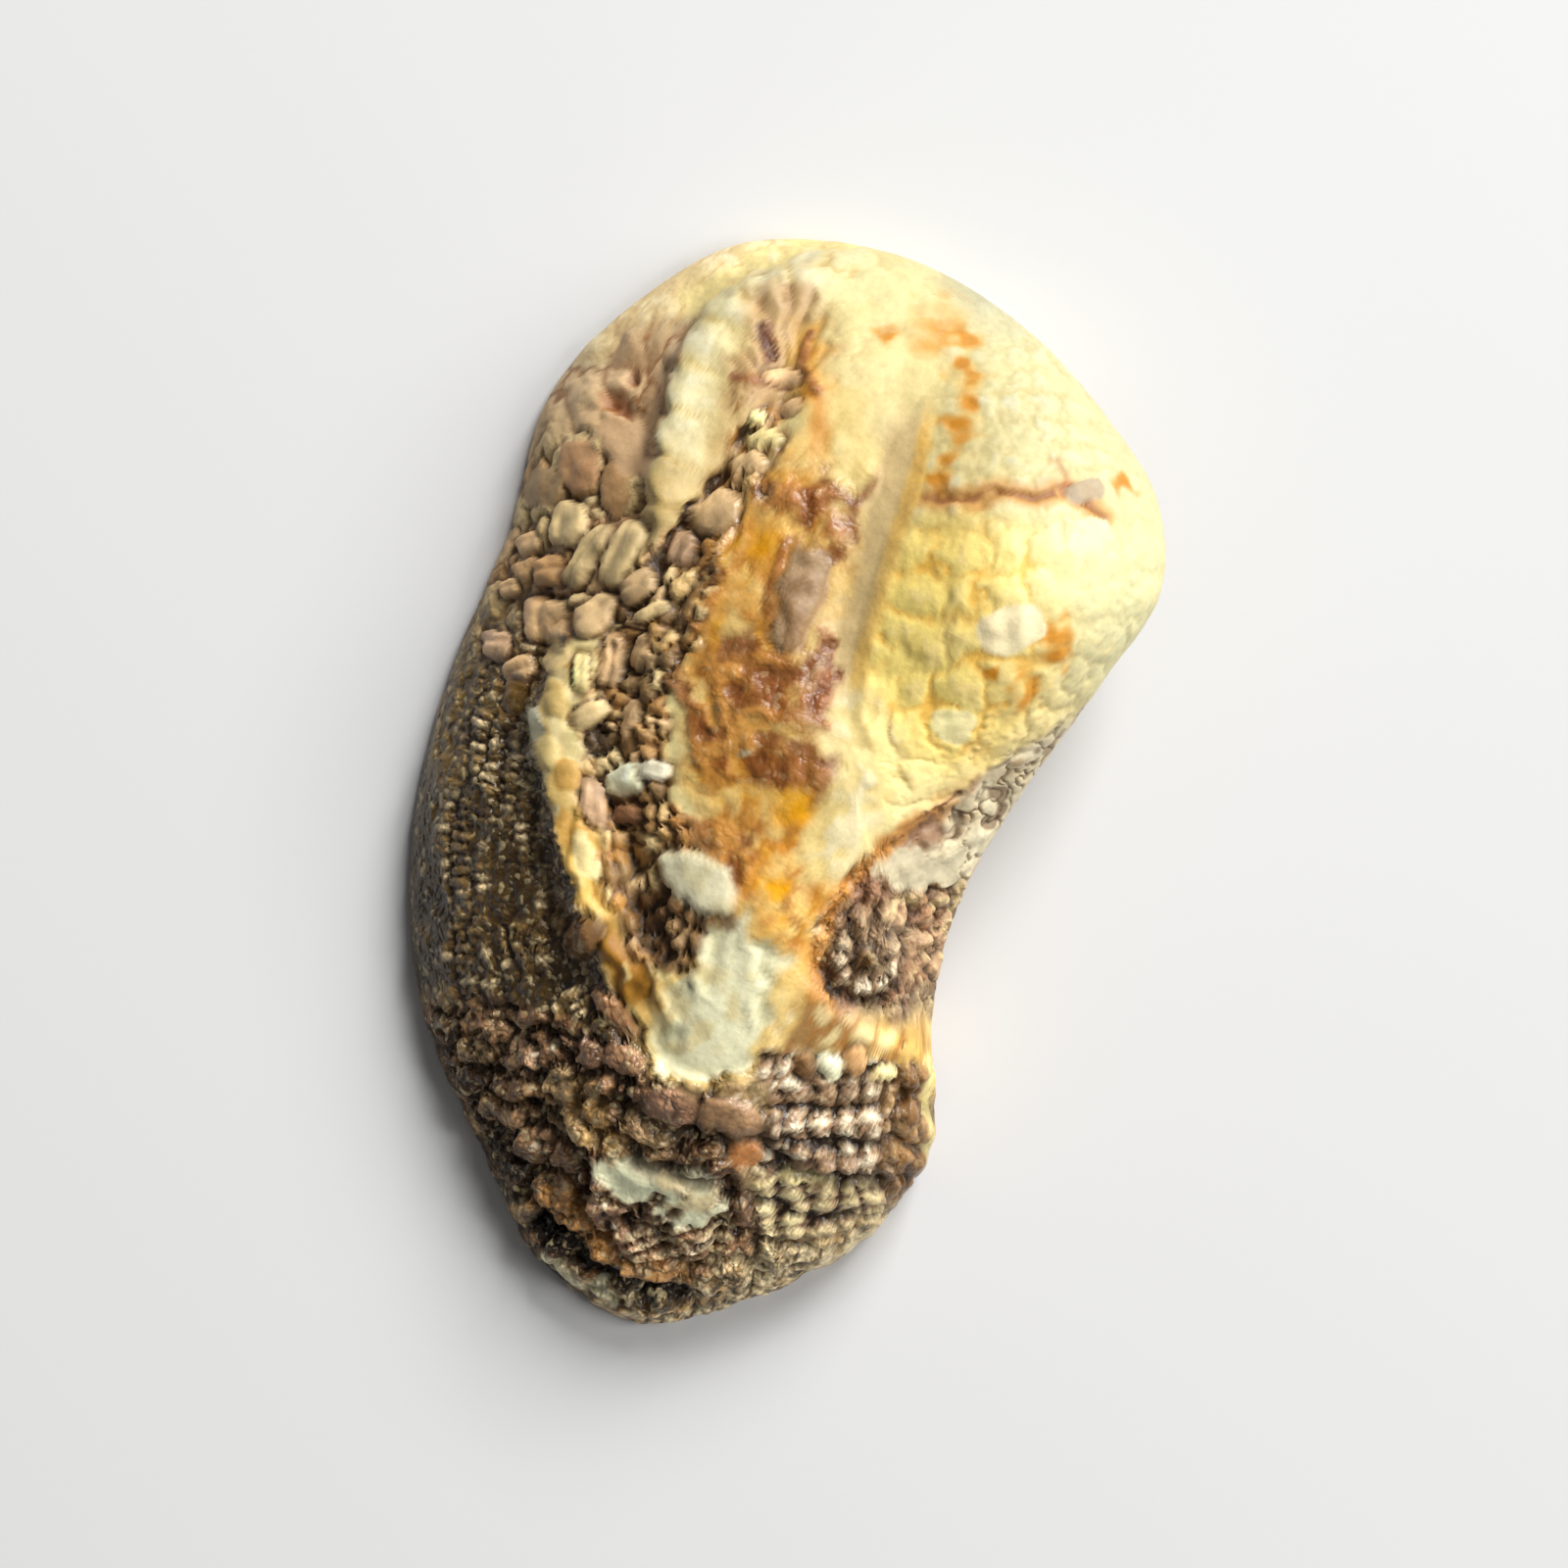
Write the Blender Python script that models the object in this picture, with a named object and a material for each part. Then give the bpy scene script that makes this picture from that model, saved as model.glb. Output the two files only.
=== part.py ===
"""Ark clam valve: one worn half shell, lying on its margin with its outside up.

Plan positions and heights are in millimetres and become metres in the mesh. +Y runs to the front end, +X to the hinge
and +Z up from the face that the shell rests on.
"""

import bpy
import numpy as np

MM = 0.001

# Plan of the shell, seen from above
OUTLINE = [
    (-4.2, 33.8), (1.7, 33.8), (8.7, 31.5), (14.8, 27.4), (19.0, 23.2), (20.6, 18.6),
    (18.5, 11.4), (15.4, 3.1), (13.7, -3.8), (14.1, -11.1), (16.1, -18.0), (14.4, -23.8),
    (8.0, -30.3), (1.8, -33.6), (-4.5, -32.1), (-10.6, -25.8), (-16.8, -17.6), (-19.9, -7.3),
    (-20.1, 1.7), (-18.8, 11.7), (-18.5, 20.5), (-14.6, 27.5), (-9.8, 32.1),
]
CENTRE = (4.0, 4.0)
BEAK = (14.9, 20.5)
HINGE_X = 13.2
HINGE_ENDS = (-14.5, 27.0)

# Heights of the dome, of its widest line all round, and of the hollow
DOME = 14.2
DOME_POWER = 2.2
HOLLOW = 11.0
WIDEST = [
    (-180, 0.7), (-120, 0.7), (-90, 0.8), (-72, 1.6), (-60, 3.4), (-42, 5.2), (-15, 6.8), (15, 8.2),
    (42, 8.8), (58, 7.6), (72, 4.8), (88, 2.4), (106, 1.1), (130, 0.7), (180, 0.7),
]
EDGE_POWER = [(-180, 0.74), (-100, 0.70), (-70, 0.55), (-40, 0.48), (60, 0.48), (95, 0.58), (130, 0.72), (180, 0.74)]

# Flat face that the shell rests on
EDGE_INSET = 0.35
RIM = 1.5
HINGE_PLATE = 3.3
TEETH_EACH_WAY = 16
TOOTH_DEPTH = 0.45

# Relief of the outside
GROOVE = [(4.2, 25.6), (3.8, 22.6), (3.6, 19.4), (3.3, 15.8), (3.1, 11.9), (3.3, 8.4), (4.1, 5.0), (5.6, 2.0)]
GROOVE_DEPTH = 0.7
UMBO_HEIGHT = 4.4
WALL_EDGE = [
    (19.6, 12.0), (17.7, 9.1), (15.1, 5.9), (12.4, 3.3), (9.7, 0.7), (7.9, -1.9), (6.1, -4.6),
    (5.6, -7.5), (6.2, -10.0), (8.4, -11.8), (11.4, -12.4),
]
WALL_DROP = 0.8
KEEL = [(6.0, 9.0), (4.6, 2.0), (3.0, -5.0), (2.0, -12.0), (2.4, -20.0), (3.6, -27.0)]
KEEL_HEIGHT = 1.3
UPPER_STEP = [(-2.2, 33.4), (-6.0, 31.4), (-9.0, 28.8), (-10.8, 25.2), (-11.0, 20.6), (-10.8, 16.2), (-9.8, 12.6)]
LOWER_STEP = [(-12.6, 8.4), (-13.4, 4.6), (-13.6, 0.7), (-12.2, -3.2), (-10.4, -6.8), (-7.8, -10.6), (-5.0, -14.4)]
UPPER_VALLEY = [(-3.2, 30.0), (-4.8, 26.2), (-4.9, 22.4), (-6.6, 18.4), (-7.9, 14.6), (-9.6, 10.4)]
LOWER_VALLEY = [(-10.2, 8.2), (-9.6, 3.0), (-8.6, -1.4), (-6.8, -4.6), (-4.9, -7.6), (-3.4, -10.6)]
CRUST_EDGE = [(-5.4, -14.8), (-2.6, -17.4), (0.6, -18.6), (4.5, -19.1), (8.9, -18.6), (12.7, -16.6), (15.4, -14.0)]
END_STEP = [(-9.4, -27.2), (-5.9, -30.3), (-2.4, -31.7), (1.6, -31.9), (5.6, -30.4), (9.6, -27.9), (13.4, -24.4)]
RIBS = 60
BEAD_PITCH = 2.7

# Fine mesh across the outside before it is made lighter, and the triangles kept
GRID = 120
SIDE_ROWS = 5
RIM_ROWS = 4
TRIANGLES = 9200


def smooth_line(points, closed=False, pieces=16):
    """Points along a smooth curve through the given ones, weighted by the distance between them."""
    p = np.array(points, float)
    if closed:
        p = np.vstack([p[-1:], p, p[:2]])
    else:
        p = np.vstack([2 * p[0] - p[1], p, 2 * p[-1] - p[-2]])
    t = np.linspace(0, 1, pieces, endpoint=False)[:, None]
    out = []
    for a, b, c, d in zip(p, p[1:], p[2:], p[3:]):
        ab, bc, cd = (np.hypot(*(q - r)) for q, r in ((b, a), (c, b), (d, c)))
        start = ((b - a) / ab * bc + (c - b) / bc * ab) / (ab + bc) * bc
        end = ((c - b) / bc * cd + (d - c) / cd * bc) / (bc + cd) * bc
        t2 = t * t
        t3 = t2 * t
        out.append((2 * t3 - 3 * t2 + 1) * b + (t3 - 2 * t2 + t) * start + (3 * t2 - 2 * t3) * c + (t3 - t2) * end)
    if not closed:
        out.append(p[-2:-1])
    return np.vstack(out)


def ramp(low, high, value):
    """0 below low, 1 above high, with a smooth rise between them."""
    t = np.clip((value - low) / (high - low), 0, 1)
    return t * t * (3 - 2 * t)


def knots(table, degrees):
    """A value from a table of (degrees round the centre, value), joined smoothly."""
    angle, value = np.array(table, float).T
    samples = np.linspace(-180, 180, 721)
    rough = np.interp(samples, angle, value)[:-1]
    window = np.hanning(35)
    soft = np.convolve(np.tile(rough, 3), window / window.sum(), "same")[720:1440]
    return np.interp((degrees + 180) % 360 - 180, samples, np.append(soft, soft[0]))


def outline_radius(angle):
    """Distance from the centre to the silhouette in a direction given in radians."""
    ring = smooth_line(OUTLINE, closed=True) - CENTRE
    ring_angle = np.arctan2(ring[:, 1], ring[:, 0])
    order = np.argsort(ring_angle)
    return np.interp(angle, ring_angle[order], np.hypot(*ring[order].T), period=2 * np.pi)


def hinge_limit(angle, reach, radius):
    """The radius cut off by a straight line at the given reach in +X, between the ends of the hinge."""
    across = np.cos(angle)
    line = np.where(across > 0.05, reach / np.maximum(across, 0.05), 999.0)
    y = CENTRE[1] + line * np.sin(angle)
    line = line + 60.0 * (1 - ramp(HINGE_ENDS[0] - 2.5, HINGE_ENDS[0] + 1.5, y))
    gap = np.clip(0.5 + (radius - line) / 2.0, 0, 1)
    return radius + (line - radius) * gap - gap * (1 - gap)


def margin_radius(angle):
    return hinge_limit(angle, HINGE_X - CENTRE[0], outline_radius(angle) - EDGE_INSET)


def mouth_radius(angle):
    return hinge_limit(angle, HINGE_X - HINGE_PLATE - CENTRE[0], outline_radius(angle) - EDGE_INSET - RIM)


def along(x, y, points):
    """Signed distance from a smooth line (positive on its left) and the length run along it, from 0 to 1."""
    line = smooth_line(points, pieces=6)
    best = np.full(x.shape, 1e9)
    side = np.zeros(x.shape)
    run = np.zeros(x.shape)
    lengths = np.hypot(*np.diff(line, axis=0).T)
    total = lengths.sum()
    done = 0.0
    for (ax, ay), (bx, by), length in zip(line, line[1:], lengths):
        ex, ey = (bx - ax) / length, (by - ay) / length
        t = np.clip((x - ax) * ex + (y - ay) * ey, 0, length)
        dx, dy = x - ax - t * ex, y - ay - t * ey
        d = np.hypot(dx, dy)
        near = d < best
        best = np.where(near, d, best)
        side = np.where(near, np.sign(ex * dy - ey * dx), side)
        run = np.where(near, (done + t) / total, run)
        done += length
    return best * side, run


def scramble(i, j, k, seed):
    """A fixed number from 0 to 1 for each whole place (i, j, k)."""
    h = (i * 374761393 + j * 668265263 + k * 1442695041 + seed * 1274126177) & 0xFFFFFFFF
    h = ((h ^ (h >> 13)) * 1274126177) & 0xFFFFFFFF
    h = ((h ^ (h >> 15)) * 374761393) & 0xFFFFFFFF
    return ((h ^ (h >> 16)) & 0xFFFFFF) / 16777215.0


def noise(x, y, z, size, seed):
    """Smooth uneven value from -1 to 1 with lumps of the given size."""
    p = [np.asarray(v, float) / size for v in (x, y, z)]
    whole = [np.floor(v).astype(np.int64) for v in p]
    part = [v - w for v, w in zip(p, whole)]
    fade = [f * f * (3 - 2 * f) for f in part]
    total = 0.0
    for corner in range(8):
        step = [(corner >> n) & 1 for n in range(3)]
        weight = 1.0
        for f, s in zip(fade, step):
            weight = weight * (f if s else 1 - f)
        total = total + weight * scramble(*[w + s for w, s in zip(whole, step)], seed)
    return total * 2 - 1


def growth_step(x, y, points, drop, lip, pitch, seed):
    """A scalloped growth ridge: a raised lip on the right of the line and a fall on its left that dies away."""
    d, run = along(x, y, points)
    length = np.hypot(*np.diff(smooth_line(points), axis=0).T).sum()
    ends = ramp(0.0, 0.10, run) * (1 - ramp(0.90, 1.0, run))
    scallop = 0.45 * np.abs(np.sin(np.pi * run * length / pitch))
    d = d - scallop * ends - 0.35 * noise(x, y, 0 * x, 3.4, seed)
    fall = ramp(-0.35, 0.75, d) * np.exp(-np.maximum(d, 0) / 4.5)
    raised = np.exp(-((np.minimum(d, 0) + 0.3) / 1.7) ** 2) * (1 - ramp(-0.3, 0.6, d))
    return ends * (lip * raised - drop * fall)


def umbo(x, y):
    """Swollen umbo, bounded by the groove on its left."""
    far = np.hypot((x - 12.4) / 12.0, (y - 18.6) / 17.5)
    return UMBO_HEIGHT * (1 - ramp(0.1, 1.0, far))


def groove(x, y):
    d, run = along(x, y, GROOVE)
    across = ramp(-2.6, -0.7, d) * (1 - ramp(0.3, 1.3, d))
    ends = ramp(0.0, 0.22, run) * (1 - ramp(0.78, 1.0, run))
    return -GROOVE_DEPTH * across * ends


def valley(x, y, points, depth, width):
    d, run = along(x, y, points)
    ends = ramp(0.0, 0.15, run) * (1 - ramp(0.85, 1.0, run))
    return -depth * np.exp(-(d / width) ** 2) * ends


def big_relief(x, y):
    """Growth ridges, groove, valleys and crust edges, in millimetres of height."""
    keel, run = along(x, y, KEEL)
    z = KEEL_HEIGHT * np.exp(-(keel / 6.0) ** 2) * ramp(0.0, 0.2, run) * (1 - ramp(0.7, 1.0, run))
    z = z + umbo(x, y) + groove(x, y)
    z = z + growth_step(x, y, UPPER_STEP[::-1], 1.3, 0.9, 2.7, 3)
    z = z + growth_step(x, y, LOWER_STEP[::-1], 1.3, 0.8, 2.4, 5)
    z = z + valley(x, y, UPPER_VALLEY, 1.0, 1.3) + valley(x, y, LOWER_VALLEY, 0.9, 1.4)
    z = z + growth_step(x, y, END_STEP[::-1], 1.0, 0.5, 2.0, 7)
    d, run = along(x, y, CRUST_EDGE)
    d = d + 0.9 * noise(x, y, 0 * x, 3.0, 11)
    z = z + 0.7 * (1 - ramp(-0.5, 0.4, d)) * np.exp(np.minimum(d, 0) / 7.0) * ramp(0.0, 0.1, run)
    d, run = along(x, y, WALL_EDGE)
    d = d + 0.5 * noise(x, y, 0 * x, 2.6, 12)
    return z - WALL_DROP * ramp(-0.3, 0.6, d) * np.exp(-np.maximum(d, 0) / 6.0) * ramp(0.0, 0.2, run)


def bead_relief(x, y, z):
    """Rows of beads on ribs that fan out from the beak, worn flat on the umbo, in millimetres outwards."""
    dx, dy = x - BEAK[0], y - BEAK[1]
    reach = np.hypot(dx, dy)
    turn = np.arctan2(dy, dx) + 0.05 * noise(x, y, z, 7.0, 21)
    rib = turn * RIBS / (2 * np.pi)
    row = reach / BEAD_PITCH + 0.5 * (np.floor(rib) % 2) + 0.35 * noise(x, y, z, 6.0, 22)
    lift = np.abs(np.sin(np.pi * rib)) ** 0.8 * (0.45 + 0.55 * np.abs(np.sin(np.pi * row)))
    d, run = along(x, y, GROOVE)
    outer = np.maximum(ramp(5.0, 9.5, -d), ramp(15.0, 19.0, -y))
    rough = 0.25 + 0.75 * outer
    lumps = noise(x, y, z, 3.1, 31) * 0.5 + noise(x, y, z, 1.7, 32) * 0.3
    return outer * 0.55 * (lift - 0.5) + 0.42 * rough * lumps


def disk(count):
    """Places in a unit disk on a square grid, as distance from the centre and angle."""
    side = np.linspace(-1, 1, count + 1)
    a, b = np.meshgrid(side, side, indexing="ij")
    wide = np.abs(a) > np.abs(b)
    r = np.where(wide, a, b)
    safe = np.where(np.abs(r) < 1e-12, 1.0, r)
    angle = np.where(wide, np.pi / 4 * b / safe, np.pi / 2 - np.pi / 4 * a / safe)
    angle = np.where(r < 0, angle + np.pi, angle)
    return np.abs(r).ravel(), angle.ravel()


def disk_faces(count):
    i, j = np.meshgrid(np.arange(count), np.arange(count), indexing="ij")
    a = (i * (count + 1) + j).ravel()
    return np.stack([a, a + count + 1, a + count + 2, a + 1], axis=1)


def disk_edge(count):
    """Numbers of the grid points on the disk's edge, in order round it."""
    n = np.arange(count)
    width = count + 1
    return np.concatenate([count * width + n, (count - n) * width + count, count - n, n * width])


def dome_height(radius, angle):
    """Height of the plain dome at a share of the way from the centre to the silhouette."""
    degrees = np.degrees(angle)
    low = knots(WIDEST, degrees)
    power = knots(EDGE_POWER, degrees)
    return low + (DOME - low) * np.clip(1 - radius**DOME_POWER, 0, 1) ** power


def outside(radius, angle):
    """Points of the outside above its widest line."""
    share = 0.35 * radius + 0.65 * np.sin(radius * np.pi / 2)
    reach = share * outline_radius(angle)
    x = CENTRE[0] + reach * np.cos(angle)
    y = CENTRE[1] + reach * np.sin(angle)
    fade = np.clip(1 - share**9, 0, 1) ** 0.6
    z = dome_height(share, angle) + fade * big_relief(x, y)
    return np.stack([x, y, np.maximum(z, 0.3)], axis=1)


def under_edge(share, angle):
    """Points below the widest line: a share of the way down to the face that the shell rests on."""
    top = outline_radius(angle)
    reach = top + (margin_radius(angle) - top) * share**1.7
    low = knots(WIDEST, np.degrees(angle))
    x = CENTRE[0] + reach * np.cos(angle)
    y = CENTRE[1] + reach * np.sin(angle)
    return np.stack([x, y, low * (1 - share)], axis=1)


def rim(share, angle):
    """Points of the flat face, with the notches between the teeth cut into it along the hinge."""
    outer, inner = margin_radius(angle), mouth_radius(angle)
    reach = outer + (inner - outer) * share
    x = CENTRE[0] + reach * np.cos(angle)
    y = CENTRE[1] + reach * np.sin(angle)
    middle, half = sum(HINGE_ENDS) / 2, (HINGE_ENDS[1] - HINGE_ENDS[0]) / 2 - 2.0
    place = (CENTRE[1] + (HINGE_X - CENTRE[0] - HINGE_PLATE / 2) * np.tan(angle) - middle) / half
    on_hinge = (np.cos(angle) > 0.2) & (np.abs(place) < 1)
    place = np.clip(place, -1, 1)
    notch = np.sin(2 * np.pi * TEETH_EACH_WAY * place * (1 - 0.2 * place**2) / 0.8) > 0
    across = (share > 0.2) & (share < 0.85)
    return np.stack([x, y, TOOTH_DEPTH * (on_hinge & notch & across)], axis=1)


def inside(radius, angle):
    """Points of the hollow, from its deepest place to the inner edge of the flat face."""
    share = 0.35 * radius + 0.65 * np.sin(radius * np.pi / 2)
    reach = share * mouth_radius(angle)
    x = CENTRE[0] + reach * np.cos(angle)
    y = CENTRE[1] + reach * np.sin(angle)
    power = np.clip(knots(EDGE_POWER, np.degrees(angle)) + 0.03, 0.5, 0.8)
    body = np.clip(1 - share**DOME_POWER, 0, 1) ** power
    swell = 2.6 * (1 - ramp(0.1, 1.0, np.hypot((x - 6.0) / 9.5, (y - 17.0) / 12.0)))
    return np.stack([x, y, HOLLOW * body + swell * np.clip(1 - share**6, 0, 1)], axis=1)


def outward(points, faces):
    """Unit direction out of the surface at each point."""
    a, b, c, d = (points[faces[:, n]] for n in range(4))
    across = np.cross(c - a, d - b)
    total = np.zeros_like(points)
    for n in range(4):
        np.add.at(total, faces[:, n], across)
    return total / np.maximum(np.linalg.norm(total, axis=1, keepdims=True), 1e-12)


def ring_faces(upper, lower):
    """Faces between two loops of the same count."""
    return np.stack([upper, lower, np.roll(lower, -1), np.roll(upper, -1)], axis=1)


def fine_surface():
    """Points and faces of the whole closed shell on the fine grid."""
    points = [outside(*disk(GRID))]
    faces = [disk_faces(GRID)]
    edge = disk_edge(GRID)
    angle = disk(GRID)[1][edge]
    loop = edge
    count = len(points[0])
    rows = [under_edge(np.full(angle.shape, (n + 1) / SIDE_ROWS), angle) for n in range(SIDE_ROWS)]
    rows += [rim(np.full(angle.shape, (n + 1) / (RIM_ROWS + 1)), angle) for n in range(RIM_ROWS)]
    for row in rows:
        below = count + np.arange(len(row))
        points.append(row)
        faces.append(ring_faces(loop, below))
        loop = below
        count += len(row)
    hollow = inside(*disk(GRID))
    inner_edge = count + disk_edge(GRID)
    faces.append(ring_faces(loop, inner_edge))
    faces.append(disk_faces(GRID)[:, ::-1] + count)
    points.append(hollow)
    return np.vstack(points), np.vstack(faces)


def with_beads(points, faces):
    """The same points with the beads of the outside raised, fading to nothing at the flat face."""
    grown = (GRID + 1) ** 2 + 4 * GRID * (SIDE_ROWS - 1)
    x, y, z = points[:grown].T
    lift = bead_relief(x, y, z) * ramp(0.2, 1.6, z)
    out = points.copy()
    out[:grown] += outward(points, faces)[:grown] * lift[:, None]
    out[:grown, 2] = np.maximum(out[:grown, 2], 0.12)
    return out


def mesh_object(name, points, faces):
    mesh = bpy.data.meshes.new(name)
    mesh.from_pydata((points * MM).tolist(), [], faces.tolist())
    mesh.validate()
    mesh.update()
    obj = bpy.data.objects.new(name, mesh)
    bpy.context.scene.collection.objects.link(obj)
    return obj


def lighter(obj, name):
    """A new object with the fine mesh brought down to the triangles kept, its flat face exactly flat."""
    fine = len(obj.data.polygons) * 2
    light = obj.modifiers.new("Lighter", "DECIMATE")
    light.ratio = TRIANGLES / fine
    light.use_collapse_triangulate = True
    graph = bpy.context.evaluated_depsgraph_get()
    mesh = bpy.data.meshes.new_from_object(obj.evaluated_get(graph))
    bpy.data.objects.remove(obj)
    for vertex in mesh.vertices:
        if vertex.co.z < 0.05 * MM:
            vertex.co.z = 0.0
    mesh.name = name
    made = bpy.data.objects.new(name, mesh)
    bpy.context.scene.collection.objects.link(made)
    return made


def shell_material():
    material = bpy.data.materials.new("worn_shell")
    material.use_nodes = True
    shader = material.node_tree.nodes["Principled BSDF"]
    shader.inputs["Base Color"].default_value = (0.52, 0.36, 0.20, 1.0)
    shader.inputs["Roughness"].default_value = 0.55
    return material


def main():
    for obj in list(bpy.data.objects):
        bpy.data.objects.remove(obj)
    points, faces = fine_surface()
    points = with_beads(points, faces)
    valve = lighter(mesh_object("fine", points, faces), "valve")
    valve.data.materials.clear()
    valve.data.materials.append(shell_material())


main()
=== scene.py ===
"""Ark clam valve as in the photo: one worn half shell, dome up, on a pale floor under soft light.

Plan positions and heights are in millimetres, and places of marks are in pixels of the photo.
"""

import bpy
import numpy as np
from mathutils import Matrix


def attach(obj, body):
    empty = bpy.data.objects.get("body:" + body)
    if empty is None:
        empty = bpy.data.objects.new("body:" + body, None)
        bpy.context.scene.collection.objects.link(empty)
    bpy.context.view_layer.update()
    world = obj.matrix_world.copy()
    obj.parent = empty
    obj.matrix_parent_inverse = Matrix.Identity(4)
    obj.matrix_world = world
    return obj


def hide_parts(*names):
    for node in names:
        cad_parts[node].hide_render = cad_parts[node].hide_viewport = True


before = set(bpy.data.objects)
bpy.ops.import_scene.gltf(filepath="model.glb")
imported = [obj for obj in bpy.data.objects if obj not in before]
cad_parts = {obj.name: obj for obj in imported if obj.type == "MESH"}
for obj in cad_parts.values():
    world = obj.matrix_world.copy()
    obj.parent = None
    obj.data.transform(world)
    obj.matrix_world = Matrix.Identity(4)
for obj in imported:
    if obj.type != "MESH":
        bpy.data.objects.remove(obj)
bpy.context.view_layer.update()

MM = 0.001

# How the photo's pixels lie on the shell's plan
PIXEL_MM = 0.06
PHOTO_TURN = np.radians(15)
PHOTO_ORIGIN = (771.5, 805.0)
PHOTO_MIDDLE = (800, 800)
PHOTO_SIZE = 1600

# Plan of the shell, seen from above
OUTLINE = [
    (-4.2, 33.8), (1.7, 33.8), (8.7, 31.5), (14.8, 27.4), (19.0, 23.2), (20.6, 18.6),
    (18.5, 11.4), (15.4, 3.1), (13.7, -3.8), (14.1, -11.1), (16.1, -18.0), (14.4, -23.8),
    (8.0, -30.3), (1.8, -33.6), (-4.5, -32.1), (-10.6, -25.8), (-16.8, -17.6), (-19.9, -7.3),
    (-20.1, 1.7), (-18.8, 11.7), (-18.5, 20.5), (-14.6, 27.5), (-9.8, 32.1),
]
CENTRE = (4.0, 4.0)
HINGE_X = 13.2
HINGE_ENDS = (-14.5, 27.0)

# Heights of the dome, of its widest line all round, and of the hollow
DOME = 14.2
DOME_POWER = 2.2
HOLLOW = 11.0
HOLLOW_SWELL = 2.6
SWELL_PLACE = (6.0, 17.0)
SWELL_REACH = (9.5, 12.0)
WIDEST = [
    (-180, 0.7), (-120, 0.7), (-90, 0.8), (-72, 1.6), (-60, 3.4), (-42, 5.2), (-15, 6.8), (15, 8.2),
    (42, 8.8), (58, 7.6), (72, 4.8), (88, 2.4), (106, 1.1), (130, 0.7), (180, 0.7),
]
EDGE_POWER = [
    (-180, 0.74), (-100, 0.70), (-70, 0.55), (-40, 0.48), (60, 0.48), (95, 0.58), (130, 0.72), (180, 0.74),
]

# Flat face that the shell rests on
EDGE_INSET = 0.35
RIM = 1.5
HINGE_PLATE = 3.3
TEETH_EACH_WAY = 16
TOOTH_DEPTH = 0.45

# Relief of the outside
GROOVE = [
    (4.2, 25.6), (3.8, 22.6), (3.6, 19.4), (3.3, 15.8), (3.1, 11.9), (3.3, 8.4), (4.1, 5.0), (5.6, 2.0),
]
GROOVE_DEPTH = 0.7
UMBO_HEIGHT = 4.4
UMBO_PLACE = (12.4, 18.6)
UMBO_REACH = (12.0, 17.5)
WALL_EDGE = [
    (19.6, 12.0), (17.7, 9.1), (15.1, 5.9), (12.4, 3.3), (9.7, 0.7), (7.9, -1.9), (6.1, -4.6),
    (5.6, -7.5), (6.2, -10.0), (8.4, -11.8), (11.4, -12.4),
]
WALL_DROP = 0.8
CRUST_RISE = 0.7
KEEL = [(6.0, 9.0), (4.6, 2.0), (3.0, -5.0), (2.0, -12.0), (2.4, -20.0), (3.6, -27.0)]
KEEL_HEIGHT = 1.3
UPPER_STEP = [
    (-2.2, 33.4), (-6.0, 31.4), (-9.0, 28.8), (-10.8, 25.2), (-11.0, 20.6), (-10.8, 16.2), (-9.8, 12.6),
]
LOWER_STEP = [
    (-12.6, 8.4), (-13.4, 4.6), (-13.6, 0.7), (-12.2, -3.2), (-10.4, -6.8), (-7.8, -10.6), (-5.0, -14.4),
]
UPPER_VALLEY = [(-3.2, 30.0), (-4.8, 26.2), (-4.9, 22.4), (-6.6, 18.4), (-7.9, 14.6), (-9.6, 10.4)]
LOWER_VALLEY = [(-10.2, 8.2), (-9.6, 3.0), (-8.6, -1.4), (-6.8, -4.6), (-4.9, -7.6), (-3.4, -10.6)]
CRUST_EDGE = [
    (-5.4, -14.8), (-2.6, -17.4), (0.6, -18.6), (4.5, -19.1), (8.9, -18.6), (12.7, -16.6), (15.4, -14.0),
]
END_STEP = [
    (-9.4, -27.2), (-5.9, -30.3), (-2.4, -31.7), (1.6, -31.9), (5.6, -30.4), (9.6, -27.9), (13.4, -24.4),
]

# Grids of the outside and of the hollow, three outer points to one inner one
GRID = 264
HOLLOW_GRID = 88
SIDE_ROWS = 10
RIM_ROWS = 5


def smooth_line(points, closed=False, pieces=16):
    """Points along a smooth curve through the given ones, weighted by the distance between them."""
    p = np.array(points, float)
    if closed:
        p = np.vstack([p[-1:], p, p[:2]])
    else:
        p = np.vstack([2 * p[0] - p[1], p, 2 * p[-1] - p[-2]])
    t = np.linspace(0, 1, pieces, endpoint=False)[:, None]
    out = []
    for a, b, c, d in zip(p, p[1:], p[2:], p[3:]):
        ab, bc, cd = (np.hypot(*(q - r)) for q, r in ((b, a), (c, b), (d, c)))
        start = ((b - a) / ab * bc + (c - b) / bc * ab) / (ab + bc) * bc
        end = ((c - b) / bc * cd + (d - c) / cd * bc) / (bc + cd) * bc
        t2 = t * t
        t3 = t2 * t
        places = (2 * t3 - 3 * t2 + 1) * b + (3 * t2 - 2 * t3) * c
        out.append(places + (t3 - 2 * t2 + t) * start + (t3 - t2) * end)
    if not closed:
        out.append(p[-2:-1])
    return np.vstack(out)


def ramp(low, high, value):
    """0 below low, 1 above high, with a smooth rise between them."""
    t = np.clip((value - low) / (high - low), 0, 1)
    return t * t * (3 - 2 * t)


def until(low, high, value):
    """1 below low, 0 above high, with a smooth fall between them."""
    return 1 - ramp(low, high, value)


def bell(value, width):
    """1 at 0, falling softly away on both sides."""
    return np.exp(-(value / width) ** 2)


def wave(turns):
    """A row of humps from 0 to 1, one between each two whole numbers."""
    return np.abs(np.sin(np.pi * turns))


def within(rise, risen, fall, fallen, value):
    """1 from risen to fall, 0 before rise and after fallen."""
    return ramp(rise, risen, value) * until(fall, fallen, value)


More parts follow.
